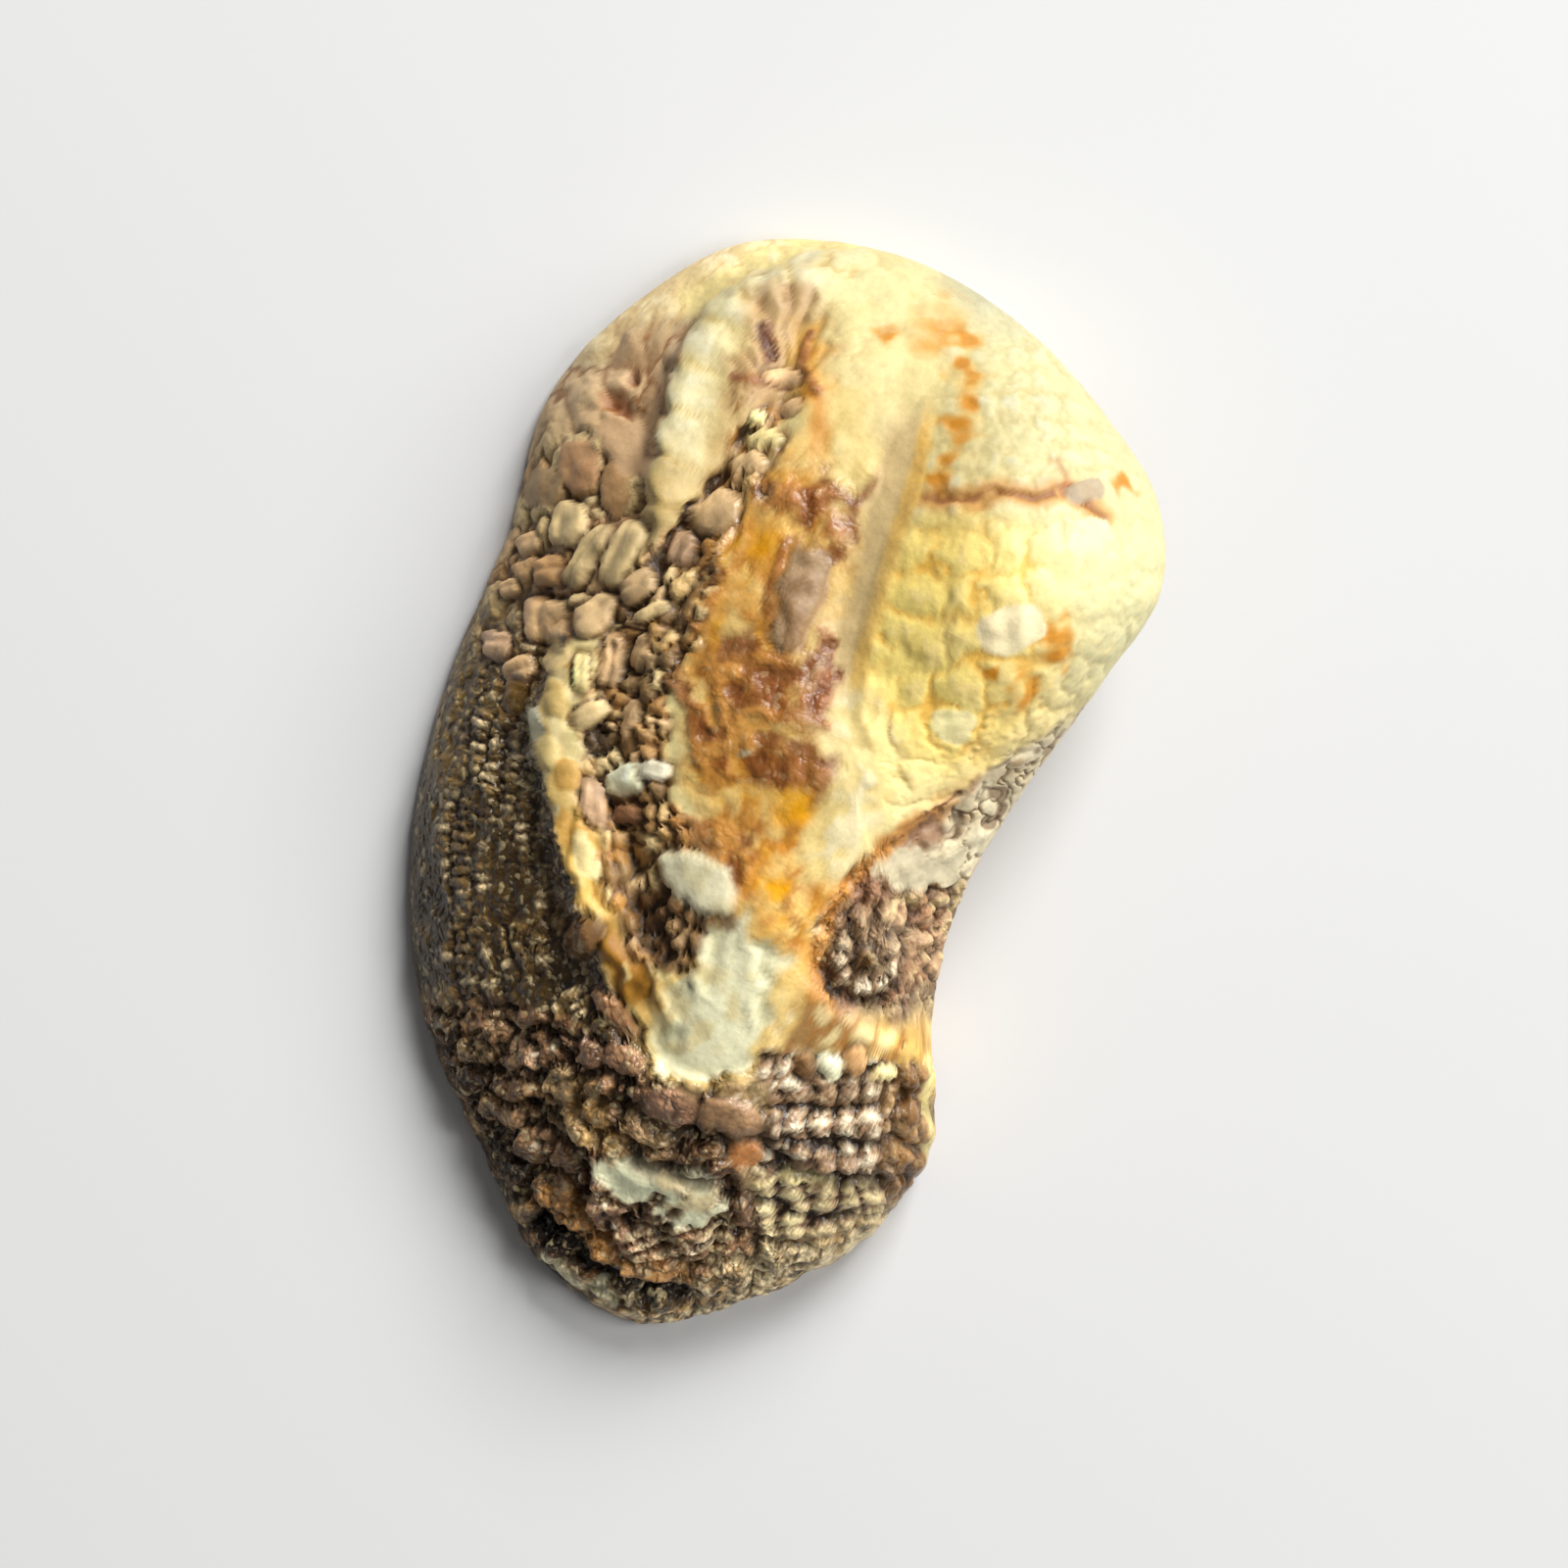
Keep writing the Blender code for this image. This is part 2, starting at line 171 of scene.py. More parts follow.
def middle_of(run, first, last):
    """1 along a line, with soft ends over its first share and after its last one."""
    return within(0.0, first, last, 1.0, run)


def knots(table, degrees):
    """A value from a table of (degrees round the centre, value), joined smoothly."""
    angle, value = np.array(table, float).T
    samples = np.linspace(-180, 180, 721)
    rough = np.interp(samples, angle, value)[:-1]
    window = np.hanning(35)
    soft = np.convolve(np.tile(rough, 3), window / window.sum(), "same")[720:1440]
    return np.interp((degrees + 180) % 360 - 180, samples, np.append(soft, soft[0]))


def outline_radius(angle):
    """Distance from the centre to the silhouette in a direction given in radians."""
    ring = smooth_line(OUTLINE, closed=True) - CENTRE
    ring_angle = np.arctan2(ring[:, 1], ring[:, 0])
    order = np.argsort(ring_angle)
    return np.interp(angle, ring_angle[order], np.hypot(*ring[order].T), period=2 * np.pi)


def hinge_limit(angle, reach, radius):
    """The radius cut off by a straight line at the given reach in +X, between the ends of the hinge."""
    across = np.cos(angle)
    line = np.where(across > 0.05, reach / np.maximum(across, 0.05), 999.0)
    y = CENTRE[1] + line * np.sin(angle)
    line = line + 60.0 * until(HINGE_ENDS[0] - 2.5, HINGE_ENDS[0] + 1.5, y)
    gap = np.clip(0.5 + (radius - line) / 2.0, 0, 1)
    return radius + (line - radius) * gap - gap * (1 - gap)


def margin_radius(angle):
    """Outer edge of the flat face."""
    return hinge_limit(angle, HINGE_X - CENTRE[0], outline_radius(angle) - EDGE_INSET)


def mouth_radius(angle):
    """Inner edge of the flat face, where the hollow starts."""
    reach = HINGE_X - HINGE_PLATE - CENTRE[0]
    return hinge_limit(angle, reach, outline_radius(angle) - EDGE_INSET - RIM)


def plan_place(reach, angle):
    """A place on the plan at a distance from the centre."""
    return CENTRE[0] + reach * np.cos(angle), CENTRE[1] + reach * np.sin(angle)


def along(x, y, points):
    """Signed distance from a smooth line, positive on its left, and the share of its length run so far."""
    line = smooth_line(points, pieces=6)
    best = np.full(x.shape, 1e9)
    side = np.zeros(x.shape)
    run = np.zeros(x.shape)
    lengths = np.hypot(*np.diff(line, axis=0).T)
    total = lengths.sum()
    done = 0.0
    for (ax, ay), (bx, by), length in zip(line, line[1:], lengths):
        ex, ey = (bx - ax) / length, (by - ay) / length
        t = np.clip((x - ax) * ex + (y - ay) * ey, 0, length)
        dx, dy = x - ax - t * ex, y - ay - t * ey
        d = np.hypot(dx, dy)
        near = d < best
        best = np.where(near, d, best)
        side = np.where(near, np.sign(ex * dy - ey * dx), side)
        run = np.where(near, (done + t) / total, run)
        done += length
    return best * side, run


def scramble(i, j, k, seed):
    """A fixed number from 0 to 1 for each whole place (i, j, k)."""
    h = (i * 374761393 + j * 668265263 + k * 1442695041 + seed * 1274126177) & 0xFFFFFFFF
    h = ((h ^ (h >> 13)) * 1274126177) & 0xFFFFFFFF
    h = ((h ^ (h >> 15)) * 374761393) & 0xFFFFFFFF
    return ((h ^ (h >> 16)) & 0xFFFFFF) / 16777215.0


def noise(x, y, z, size, seed):
    """Smooth uneven value from -1 to 1 with lumps of the given size."""
    p = [np.asarray(v, float) / size for v in (x, y, z)]
    whole = [np.floor(v).astype(np.int64) for v in p]
    part = [v - w for v, w in zip(p, whole)]
    fade = [f * f * (3 - 2 * f) for f in part]
    total = 0.0
    for corner in range(8):
        step = [(corner >> n) & 1 for n in range(3)]
        weight = 1.0
        for f, s in zip(fade, step):
            weight = weight * (f if s else 1 - f)
        total = total + weight * scramble(*[w + s for w, s in zip(whole, step)], seed)
    return total * 2 - 1


def growth_step(x, y, points, drop, lip, pitch, seed):
    """A scalloped growth ridge: a raised lip on the line's right and a fall on its left that dies away."""
    d, run = along(x, y, points)
    length = np.hypot(*np.diff(smooth_line(points), axis=0).T).sum()
    ends = middle_of(run, 0.10, 0.90)
    scallop = 0.45 * wave(run * length / pitch)
    d = d - scallop * ends - 0.35 * noise(x, y, 0 * x, 3.4, seed)
    fall = ramp(-0.35, 0.75, d) * np.exp(-np.maximum(d, 0) / 4.5)
    raised = bell(np.minimum(d, 0) + 0.3, 1.7) * until(-0.3, 0.6, d)
    return ends * (lip * raised - drop * fall)


def umbo(x, y):
    """Swollen umbo, bounded by the groove on its left."""
    far = np.hypot((x - UMBO_PLACE[0]) / UMBO_REACH[0], (y - UMBO_PLACE[1]) / UMBO_REACH[1])
    return UMBO_HEIGHT * until(0.1, 1.0, far)


def groove(x, y):
    """The furrow on the left of the umbo."""
    d, run = along(x, y, GROOVE)
    across = within(-2.6, -0.7, 0.3, 1.3, d)
    ends = middle_of(run, 0.22, 0.78)
    return -GROOVE_DEPTH * across * ends


def valley(x, y, points, depth, width):
    """A soft furrow along a line."""
    d, run = along(x, y, points)
    ends = middle_of(run, 0.15, 0.85)
    return -depth * bell(d, width) * ends


def big_relief(x, y):
    """Growth ridges, groove, valleys and crust edges, in millimetres of height."""
    keel, run = along(x, y, KEEL)
    z = KEEL_HEIGHT * bell(keel, 6.0) * middle_of(run, 0.2, 0.7)
    z = z + umbo(x, y) + groove(x, y)
    z = z + growth_step(x, y, UPPER_STEP[::-1], drop=1.3, lip=0.9, pitch=2.7, seed=3)
    z = z + growth_step(x, y, LOWER_STEP[::-1], drop=1.3, lip=0.8, pitch=2.4, seed=5)
    z = z + valley(x, y, UPPER_VALLEY, depth=1.0, width=1.3)
    z = z + valley(x, y, LOWER_VALLEY, depth=0.9, width=1.4)
    z = z + growth_step(x, y, END_STEP[::-1], drop=1.0, lip=0.5, pitch=2.0, seed=7)
    d, run = along(x, y, CRUST_EDGE)
    d = d + 0.9 * noise(x, y, 0 * x, 3.0, 11)
    z = z + CRUST_RISE * until(-0.5, 0.4, d) * np.exp(np.minimum(d, 0) / 7.0) * ramp(0.0, 0.1, run)
    d, run = along(x, y, WALL_EDGE)
    d = d + 0.5 * noise(x, y, 0 * x, 2.6, 12)
    return z - WALL_DROP * ramp(-0.3, 0.6, d) * np.exp(-np.maximum(d, 0) / 6.0) * ramp(0.0, 0.2, run)


def disk(count):
    """Places in a unit disk on a square grid, as distance from the centre and angle."""
    side = np.linspace(-1, 1, count + 1)
    a, b = np.meshgrid(side, side, indexing="ij")
    wide = np.abs(a) > np.abs(b)
    r = np.where(wide, a, b)
    safe = np.where(np.abs(r) < 1e-12, 1.0, r)
    angle = np.where(wide, np.pi / 4 * b / safe, np.pi / 2 - np.pi / 4 * a / safe)
    angle = np.where(r < 0, angle + np.pi, angle)
    return np.abs(r).ravel(), angle.ravel()


def disk_faces(count):
    """Squares of that grid."""
    i, j = np.meshgrid(np.arange(count), np.arange(count), indexing="ij")
    a = (i * (count + 1) + j).ravel()
    return np.stack([a, a + count + 1, a + count + 2, a + 1], axis=1)


def disk_edge(count):
    """Numbers of the grid points on the disk's edge, in order round it."""
    n = np.arange(count)
    width = count + 1
    return np.concatenate([count * width + n, (count - n) * width + count, count - n, n * width])


def dome_height(radius, angle):
    """Height of the plain dome at a share of the way from the centre to the silhouette."""
    degrees = np.degrees(angle)
    low = knots(WIDEST, degrees)
    power = knots(EDGE_POWER, degrees)
    return low + (DOME - low) * np.clip(1 - radius**DOME_POWER, 0, 1) ** power


def outside(radius, angle):
    """Points of the outside above its widest line."""
    share = 0.35 * radius + 0.65 * np.sin(radius * np.pi / 2)
    reach = share * outline_radius(angle)
    x, y = plan_place(reach, angle)
    fade = np.clip(1 - share**9, 0, 1) ** 0.6
    z = dome_height(share, angle) + fade * big_relief(x, y)
    return np.stack([x, y, np.maximum(z, 0.3)], axis=1)


def under_edge(share, angle):
    """Points below the widest line: a share of the way down to the face that the shell rests on."""
    top = outline_radius(angle)
    reach = top + (margin_radius(angle) - top) * share**1.7
    low = knots(WIDEST, np.degrees(angle))
    x, y = plan_place(reach, angle)
    return np.stack([x, y, low * (1 - share)], axis=1)


def rim(share, angle):
    """Points of the flat face, with the notches between the teeth cut into it along the hinge."""
    outer, inner = margin_radius(angle), mouth_radius(angle)
    reach = outer + (inner - outer) * share
    x, y = plan_place(reach, angle)
    middle, half = sum(HINGE_ENDS) / 2, (HINGE_ENDS[1] - HINGE_ENDS[0]) / 2 - 2.0
    place = (CENTRE[1] + (HINGE_X - CENTRE[0] - HINGE_PLATE / 2) * np.tan(angle) - middle) / half
    on_hinge = (np.cos(angle) > 0.2) & (np.abs(place) < 1)
    place = np.clip(place, -1, 1)
    notch = np.sin(2 * np.pi * TEETH_EACH_WAY * place * (1 - 0.2 * place**2) / 0.8) > 0
    across = (share > 0.2) & (share < 0.85)
    return np.stack([x, y, TOOTH_DEPTH * (on_hinge & notch & across)], axis=1)


def inside(radius, angle):
    """Points of the hollow, from its deepest place to the inner edge of the flat face."""
    share = 0.35 * radius + 0.65 * np.sin(radius * np.pi / 2)
    reach = share * mouth_radius(angle)
    x, y = plan_place(reach, angle)
    power = np.clip(knots(EDGE_POWER, np.degrees(angle)) + 0.03, 0.5, 0.8)
    body = np.clip(1 - share**DOME_POWER, 0, 1) ** power
    far = np.hypot((x - SWELL_PLACE[0]) / SWELL_REACH[0], (y - SWELL_PLACE[1]) / SWELL_REACH[1])
    swell = HOLLOW_SWELL * until(0.1, 1.0, far)
    return np.stack([x, y, HOLLOW * body + swell * np.clip(1 - share**6, 0, 1)], axis=1)


def outward(points, faces):
    """Unit direction out of the surface at each point."""
    a, b, c, d = (points[faces[:, n]] for n in range(4))
    across = np.cross(c - a, d - b)
    total = np.zeros_like(points)
    for n in range(4):
        np.add.at(total, faces[:, n], across)
    return total / np.maximum(np.linalg.norm(total, axis=1, keepdims=True), 1e-12)


def ring_faces(upper, lower):
    """Faces between two loops of the same count."""
    return np.stack([upper, lower, np.roll(lower, -1), np.roll(upper, -1)], axis=1)


# Colours, as red, green and blue from 0 to 255
CREAM = (240, 221, 160)
PALE_CREAM = (241, 234, 184)
YELLOW = (255, 227, 140)
AMBER = (230, 168, 76)
BRIGHT_AMBER = (236, 166, 44)
HONEY = (238, 200, 130)
RUST = (152, 94, 52)
PURPLE_BROWN = (142, 102, 74)
LIGHT_TAN = (252, 232, 186)
TAN = (224, 198, 148)
PINK_TAN = (194, 152, 106)
OLIVE = (100, 74, 36)
DARK_OLIVE = (58, 43, 20)
UMBER = (150, 112, 70)
BROWN = (118, 86, 54)
DARK_BROWN = (44, 26, 12)
GREY_TAN = (214, 178, 134)
GREY = (202, 168, 134)
GREY_WHITE = (242, 234, 206)
WORN_WHITE = (248, 244, 206)
GREY_GREEN = (214, 182, 138)
PORCELAIN = (236, 228, 208)
# Pale specks, painted as glints
GLINT_SPECK = (222, 200, 150)
GREY_BROWN = (176, 146, 112)
WALL_BROWN = (176, 146, 104)
# Near black, painted as shade in the gaps between bars and between beads
GAP_SHADE_BLACK = (30, 18, 8)
CRUST_COLOURS = [
    (152, 116, 86), (134, 100, 72), (182, 144, 106), (116, 84, 58), (196, 164, 122), (160, 124, 98),
]

# How much stronger all colours are made at the end
VIVID = 1.12

# Lines and places of marks, in pixels of the photo, with their counts
RIDGE = [
    (850, 258), (780, 282), (725, 320), (700, 370), (685, 430), (668, 500), (656, 548), (625, 600),
    (585, 650), (556, 700), (546, 742), (558, 800), (575, 870), (600, 940), (622, 1000), (662, 1062),
]
CRUST_TOP = [
    (585, 1040), (640, 1062), (690, 1092), (740, 1086), (790, 1066), (835, 1088), (880, 1080), (960, 1076),
]
WALL_TOP = [
    (1120, 712), (1080, 740), (1050, 760), (1013, 780), (980, 803), (950, 825), (912, 853), (880, 880),
    (850, 915), (832, 957), (830, 995), (855, 1030), (905, 1045),
]
UMBO_CREST = [(925, 262), (960, 268), (1000, 286)]
LOBE_YELLOW = [(905, 640), (950, 590), (1012, 592), (1015, 690), (970, 725), (925, 715)]
ORANGE_SPOTS = [
    (955, 337, 30), (984, 350, 15), (984, 372, 8), (985, 414, 12), (972, 446, 16), (960, 474, 13),
    (950, 497, 12), (1070, 655, 18), (1078, 672, 11), (1040, 706, 15), (1010, 686, 10), (905, 345, 8),
    (1137, 500, 12), (1075, 478, 7),
]
ORANGE_TRAIL = [(950, 345), (984, 352), (984, 400), (974, 450), (950, 500)]
CRACK = [(940, 514), (975, 518), (1010, 509), (1050, 515), (1082, 506), (1100, 520), (1118, 534)]
CRACK_TIP = [(1082, 506), (1080, 490), (1074, 478)]
GROOVE_LINE = [
    (985, 236), (968, 300), (952, 380), (941, 440), (933, 490), (912, 552), (892, 620), (876, 680),
    (872, 735), (892, 800),
]
LEFT_EDGE = [
    (560, 420), (530, 500), (492, 610), (452, 715), (430, 820), (424, 930), (440, 1040), (478, 1140),
    (520, 1245), (585, 1330),
]
RIM_EDGE = [
    (948, 1076), (951, 1140), (949, 1190), (932, 1226), (898, 1257), (850, 1288), (800, 1316), (745, 1340),
]
AMBER_ZONE = [
    (806, 535), (775, 590), (768, 640), (764, 700), (764, 770), (784, 830), (790, 890), (790, 935),
]
AMBER_LOW = [(812, 850), (792, 910)]
AMBER_STREAK = [(828, 352), (832, 400), (838, 446), (826, 486)]
PINK_FAN = [(800, 330), (820, 362), (790, 395)]
GOLD_SPOTS = [(783, 556, 26), (742, 560, 14), (812, 822, 26), (790, 905, 11), (744, 640, 18)]
RUBBLE = [
    (778, 440), (742, 505), (705, 560), (672, 612), (652, 680), (640, 750), (645, 820), (668, 880),
    (690, 950),
]
AMBER_STRIP = [(596, 850), (606, 900), (628, 950), (650, 1000), (660, 1030)]
RUST_LINES = [
    ([(782, 512), (825, 520), (884, 504)], 17), ([(846, 512), (852, 548)], 24),
    ([(745, 690), (800, 688), (826, 700)], 30), ([(838, 650), (842, 745)], 12),
    ([(765, 762), (800, 775), (838, 792)], 24), ([(762, 726), (800, 730), (832, 735)], 19),
    ([(738, 722), (744, 782)], 12), ([(800, 560), (792, 600), (786, 640)], 7),
    ([(690, 838), (725, 850), (755, 880)], 17), ([(690, 700), (712, 725), (720, 770)], 15),
    ([(782, 340), (790, 368)], 5), ([(828, 345), (818, 380), (834, 404)], 5), ([(740, 590), (714, 640)], 9),
    ([(750, 390), (800, 398)], 5),
]
CREAM_BAND = [(874, 735), (890, 770), (870, 828), (846, 868)]
CREVICES = [(762, 442), (748, 470), (734, 497), (708, 518), (697, 548), (676, 585), (655, 630), (640, 690)]
LOW_CREVICES = [
    (632, 660), (618, 715), (606, 760), (625, 800), (640, 850), (655, 900), (668, 960), (694, 990),
]
BAND_HOLLOW = [(630, 408), (641, 424)]
BAND_HOLE = [(646, 387), (648, 390)]
PALE_ROW = [(566, 682), (556, 704), (549, 742)]
RED_JOINTS = [(616, 408), (632, 424), (612, 446), (618, 480), (650, 502), (664, 520)]
FLAKE = [(673, 872), (696, 864), (745, 884), (751, 905), (740, 926), (715, 928), (684, 900)]
WORN_PATCH = [(742, 968), (772, 978), (712, 1018), (765, 1030), (690, 1056), (735, 1062)]
LOW_PALE = [(628, 1186), (672, 1198), (722, 1212), (690, 1222)]
GREY_LUMP = [(822, 582), (815, 622), (806, 652)]
WALL_PATCH = [(905, 880), (935, 890), (962, 885)]
PURPLE_SHORE = [(945, 842), (908, 868), (880, 902)]
GAP = [(552, 1248), (584, 1278), (620, 1302), (655, 1316), (692, 1322)]
GAP_RIM = [(560, 1284), (588, 1308), (624, 1328)]
LOW_LINES = [(660, 1268), (690, 1256), (722, 1246)]
LOW_LINES_TILT = 0.25
LOW_LINES_PITCH = 11
ORANGE_CRUST = [(575, 1235), (592, 1262), (612, 1284)]
HONEY_CRUST = [(600, 1125), (622, 1150), (632, 1172)]
LOW_LEDGES = [
    [(600, 1098), (650, 1128), (700, 1145), (768, 1156)],
    [(636, 1156), (664, 1180), (700, 1192), (760, 1196)],
    [(772, 1150), (828, 1186), (874, 1198), (918, 1204)],
    [(560, 1130), (590, 1160), (600, 1200), (590, 1240)],
]
RIDGE_LENGTH = 910
RIDGE_SCALLOPS = 19
EDGE_LENGTH = 980
ROSETTE = (882, 975)
PETALS = 9
PETAL_REACH = 27
AMBER_LIGHT = [(748, 612), (752, 660)]
FRONT_PALE = [(862, 420), (874, 470), (868, 490)]
RIGHT_CORNER = [(920, 1040), (945, 1050), (925, 1075)]
AMBER_FOOT = [(800, 1048), (842, 1040), (880, 1060), (930, 1050)]
PALE_LUMPS = [(500, 1062), (535, 1085), (556, 1110)]
FAN_SLIT = [(777, 338), (790, 368)]
FAN_CENTRE = (800, 420)
FAN_RAYS = 14
DARK_BLOB = [(672, 930), (700, 950), (692, 975)]
GLINTS = [(760, 770), (778, 785)]
ORANGE_FOOT = [(572, 1232), (592, 1270), (630, 1296), (680, 1306)]
PALE_LEDGE = [(770, 1206), (800, 1192), (850, 1202)]
FLAKE_SHADOW = 180

# Separate beads: place, half length, half width, turn in degrees, height in millimetres and colour
BEADS = [
    (797, 390, 20, 9, 0, 0.5, GREY_TAN), (773, 432, 10, 8, 0, 0.5, CREAM),
    (808, 421, 11, 8, 30, 0.4, GREY_TAN), (780, 453, 19, 10, 10, 0.6, CREAM),
    (763, 478, 25, 12, 15, 0.6, GREY_GREEN), (733, 525, 28, 18, 35, 0.8, GREY_GREEN),
    (698, 563, 17, 12, 70, 0.6, GREY), (653, 602, 19, 14, 30, 0.7, GREY_GREEN),
    (603, 430, 14, 12, 0, 0.3, (236, 200, 154)), (590, 475, 28, 23, 80, 0.3, (206, 160, 118)),
    (557, 497, 22, 20, 60, 0.3, (190, 158, 116)), (583, 537, 25, 20, 75, 0.7, TAN),
    (560, 583, 18, 16, 0, 0.6, PINK_TAN), (602, 570, 34, 13, 55, 0.7, TAN),
    (637, 567, 36, 14, 62, 0.7, TAN), (548, 618, 14, 11, 10, 0.5, PINK_TAN),
    (607, 630, 25, 18, 40, 0.6, GREY_GREEN), (630, 497, 27, 17, 85, 0.3, PINK_TAN),
    (558, 634, 27, 25, 90, 0.7, GREY_TAN), (570, 674, 18, 15, 60, 0.3, (242, 214, 156)),
    (533, 684, 20, 15, 30, 0.6, GREY_TAN), (508, 658, 17, 15, 0, 0.5, GREY),
    (627, 677, 30, 13, 80, 0.7, GREY_TAN), (595, 688, 22, 10, 85, 0.6, CREAM),
    (667, 627, 22, 8, 30, 0.4, TAN), (570, 714, 22, 13, 95, 0.3, (232, 200, 132)),
    (549, 738, 20, 8, 100, 0.3, (250, 246, 214)), (562, 768, 17, 11, 100, 0.3, (240, 214, 148)),
    (608, 728, 21, 12, 30, 0.5, TAN), (583, 790, 15, 13, 90, 0.3, (226, 180, 104)),
    (640, 797, 22, 16, 20, 0.5, WORN_WHITE), (673, 787, 17, 11, 0, 0.4, GREY_WHITE),
    (610, 820, 25, 12, 95, 0.5, GREY), (599, 868, 26, 11, 105, 0.25, (246, 226, 166)),
    (655, 665, 22, 8, 75, 0.4, GREY_TAN), (645, 735, 26, 8, 80, 0.4, GREY_TAN),
    (643, 830, 14, 11, 0, 0.4, PURPLE_BROWN), (527, 712, 12, 18, 0, 0.4, OLIVE),
    (597, 953, 22, 16, 60, 0.7, BROWN), (630, 1030, 34, 12, -48, 0.6, (140, 104, 74)),
    (520, 600, 13, 10, 20, 0.4, GREY_TAN), (540, 555, 14, 12, 30, 0.4, GREY_TAN),
    (1102, 507, 19, 12, 20, 0.28, (204, 184, 154)), (1104, 553, 25, 20, 0, 0.20, (244, 236, 190)),
    (967, 741, 25, 19, -10, 0.2, (252, 238, 182)), (1024, 648, 33, 23, 25, 0.24, (255, 238, 196)),
    (847, 1082, 15, 12, -30, 0.5, WORN_WHITE), (820, 1080, 12, 16, 0, 0.5, BROWN),
    (637, 456, 38, 23, -48, 0.25, (224, 186, 144)), (872, 1078, 12, 16, 0, 0.5, PINK_TAN),
    (900, 1090, 14, 9, 0, 0.4, TAN), (690, 1122, 32, 19, -12, 0.5, (146, 112, 88)),
    (743, 1131, 34, 18, -18, 0.5, (142, 112, 84)), (640, 1078, 24, 15, -20, 0.5, (146, 112, 84)),
    (762, 1172, 17, 12, 0, 0.3, (190, 130, 84)),
]

# Patterns in pixels: cell width and height, the place that they start from, and how much they bend
LOBE_CELLS = (47, 45, 906, 592, 26)
TIP_CELLS = (31, 27, 930, 250, 22)
MARGIN_BEADS = (23, 16, 700, 1300, 14)
BEAD_ROW = 20
BEAD_STEP = 12.5
BARS_LEFT, BAR_WIDTH = 772, 26
BARS_TOP, BAR_HEIGHT, BAR_STEP = 1118, 37, 14

# Pixels down the photo between which looks change, where four numbers are a rise and a fall
SCALLOPS_END = (560, 640)
CRUST_STARTS = (1000, 1050)
WALL_ENDS = (1010, 1050)
UMBO_TIP = (300, 420)
TIP_GREY = (262, 380)
TIP_DIMMED = (440, 600)
LOBE_LOW = (500, 560)
LOBE_BRIGHT = (500, 580)
GROOVE_LINE_SPAN = (405, 460, 715, 775)
GROOVE_WARM = (500, 600)
FRONT_ENDS = (520, 600)
FRONT_PALE_ENDS = (300, 350)
RIM_TAN = (430, 500)
RIM_BRIGHT = (430, 480)
STRIP_TAN = (350, 420)
BAND_TIP = (300, 380)
BAND_CREAM = (300, 345)
BAND_SHADOW = (300, 360)
BAND_BLOCKS = (312, 350)
BAND_FLECKS = (330, 370)
BAND_PINK = (335, 375)
BAND_TAN = (335, 390)
EDGE_LINE_STARTS = (380, 430)
BAND_LUMPS = (425, 520)
BAND_DARKENS = (600, 725)
RIDGE_SHADOW = (720, 780)
EDGE_SHADE_STARTS = (740, 820)
BAND_WARM = (760, 860)
BAND_DARKEST = (850, 1050)
RUBBLE_WIDENS = (520, 640)
LEDGE_SPAN = (655, 690, 900, 950)
STRIP_BROWN = (915, 965)
UPPER_SHORE_SPAN = (700, 740, 850, 900)
SHORE_SPAN = (770, 850, 1010, 1045)
WALL_CRUST = (858, 884)
DIMMED = (800, 900)
BARS_WARM = (1185, 1205)
BARS_STOP = (1278, 1300)
MARGIN_STARTS = (1262, 1300)
DARK_BEADS_START = 900

# Pixels across the photo between which looks change
CRUST_LEFT = (455, 535)
BARS_START = (760, 790)
AMBER_LEFT = (765, 815)
WALL_STARTS = (860, 900)
FOOT_BROWN = (862, 895)
BAND_ENDS = (870, 960)
SIDE_CRUST = (893, 915)
BARS_END = (900, 925)
YELLOW_FADES = (950, 1060)
LOBE_PALE = (960, 1090)
LOBE_DIMS = (1030, 1100)
LOBE_BACK = (1090, 1150)

# Pixels about which the slanting borders turn
WALL_PIVOT = 700
LOBE_PIVOT = 500
WALL_CRUST_PIVOT = 900
CRUST_LEFT_PIVOT = 1080
BARS_PIVOT = 830
MARGIN_PIVOT = 760

# Height in millimetres from which a bead has a crease, painted light and shade on it and a gap of painted
# shade round it
TALL_BEAD = 0.3

# Roughness of the smoother surfaces
GLOSSY = 0.27
AMBER_ROUGHNESS = 0.30
PORCELAIN_ROUGHNESS = 0.28

# Relief of the material in millimetres: bend of the small lumps, and heights of the grain and of the lumps
BEND = 0.9
FINE_RELIEF = 0.10
COARSE_RELIEF = 0.34

# Side hidden in the photo: bands up its edge, and muscle scars as place, half length and half width
HINGE_BANDS = 9.0
MUSCLE_SCARS = [(1.0, 25.0, 4.6, 3.2), (2.0, -20.5, 5.4, 3.8)]

# Studio, in metres, with lights placed across, up and out of the photo
SENSOR = 36
CAMERA_HEIGHT = 0.45
TRUE_SCALE_HEIGHT = 0.004
FLOOR_REACH = 1.6
FLOOR_COLOUR = (0.70, 0.70, 0.695)
KEY_PLACE, KEY_SIZE, KEY_ENERGY = (0.44, 0.70, 0.63), 0.46, 13.4
FILL_PLACE, FILL_SIZE, FILL_ENERGY = (0.84, -0.04, 0.76), 0.60, 7.1
SKY_STRENGTH = 0.12


def linear(colour):
    """Linear light of a colour given from 0 to 255."""
    c = np.array(colour, float) / 255
    return np.where(c <= 0.04045, c / 12.92, ((c + 0.055) / 1.055) ** 2.4)


def to_pixels(x, y):
    """Where a place on the plan, in millimetres, shows in the photo."""
    turn = PHOTO_TURN
    across = x * np.cos(turn) + y * np.sin(turn)
    up = y * np.cos(turn) - x * np.sin(turn)
    return PHOTO_ORIGIN[0] + across / PIXEL_MM, PHOTO_ORIGIN[1] - up / PIXEL_MM


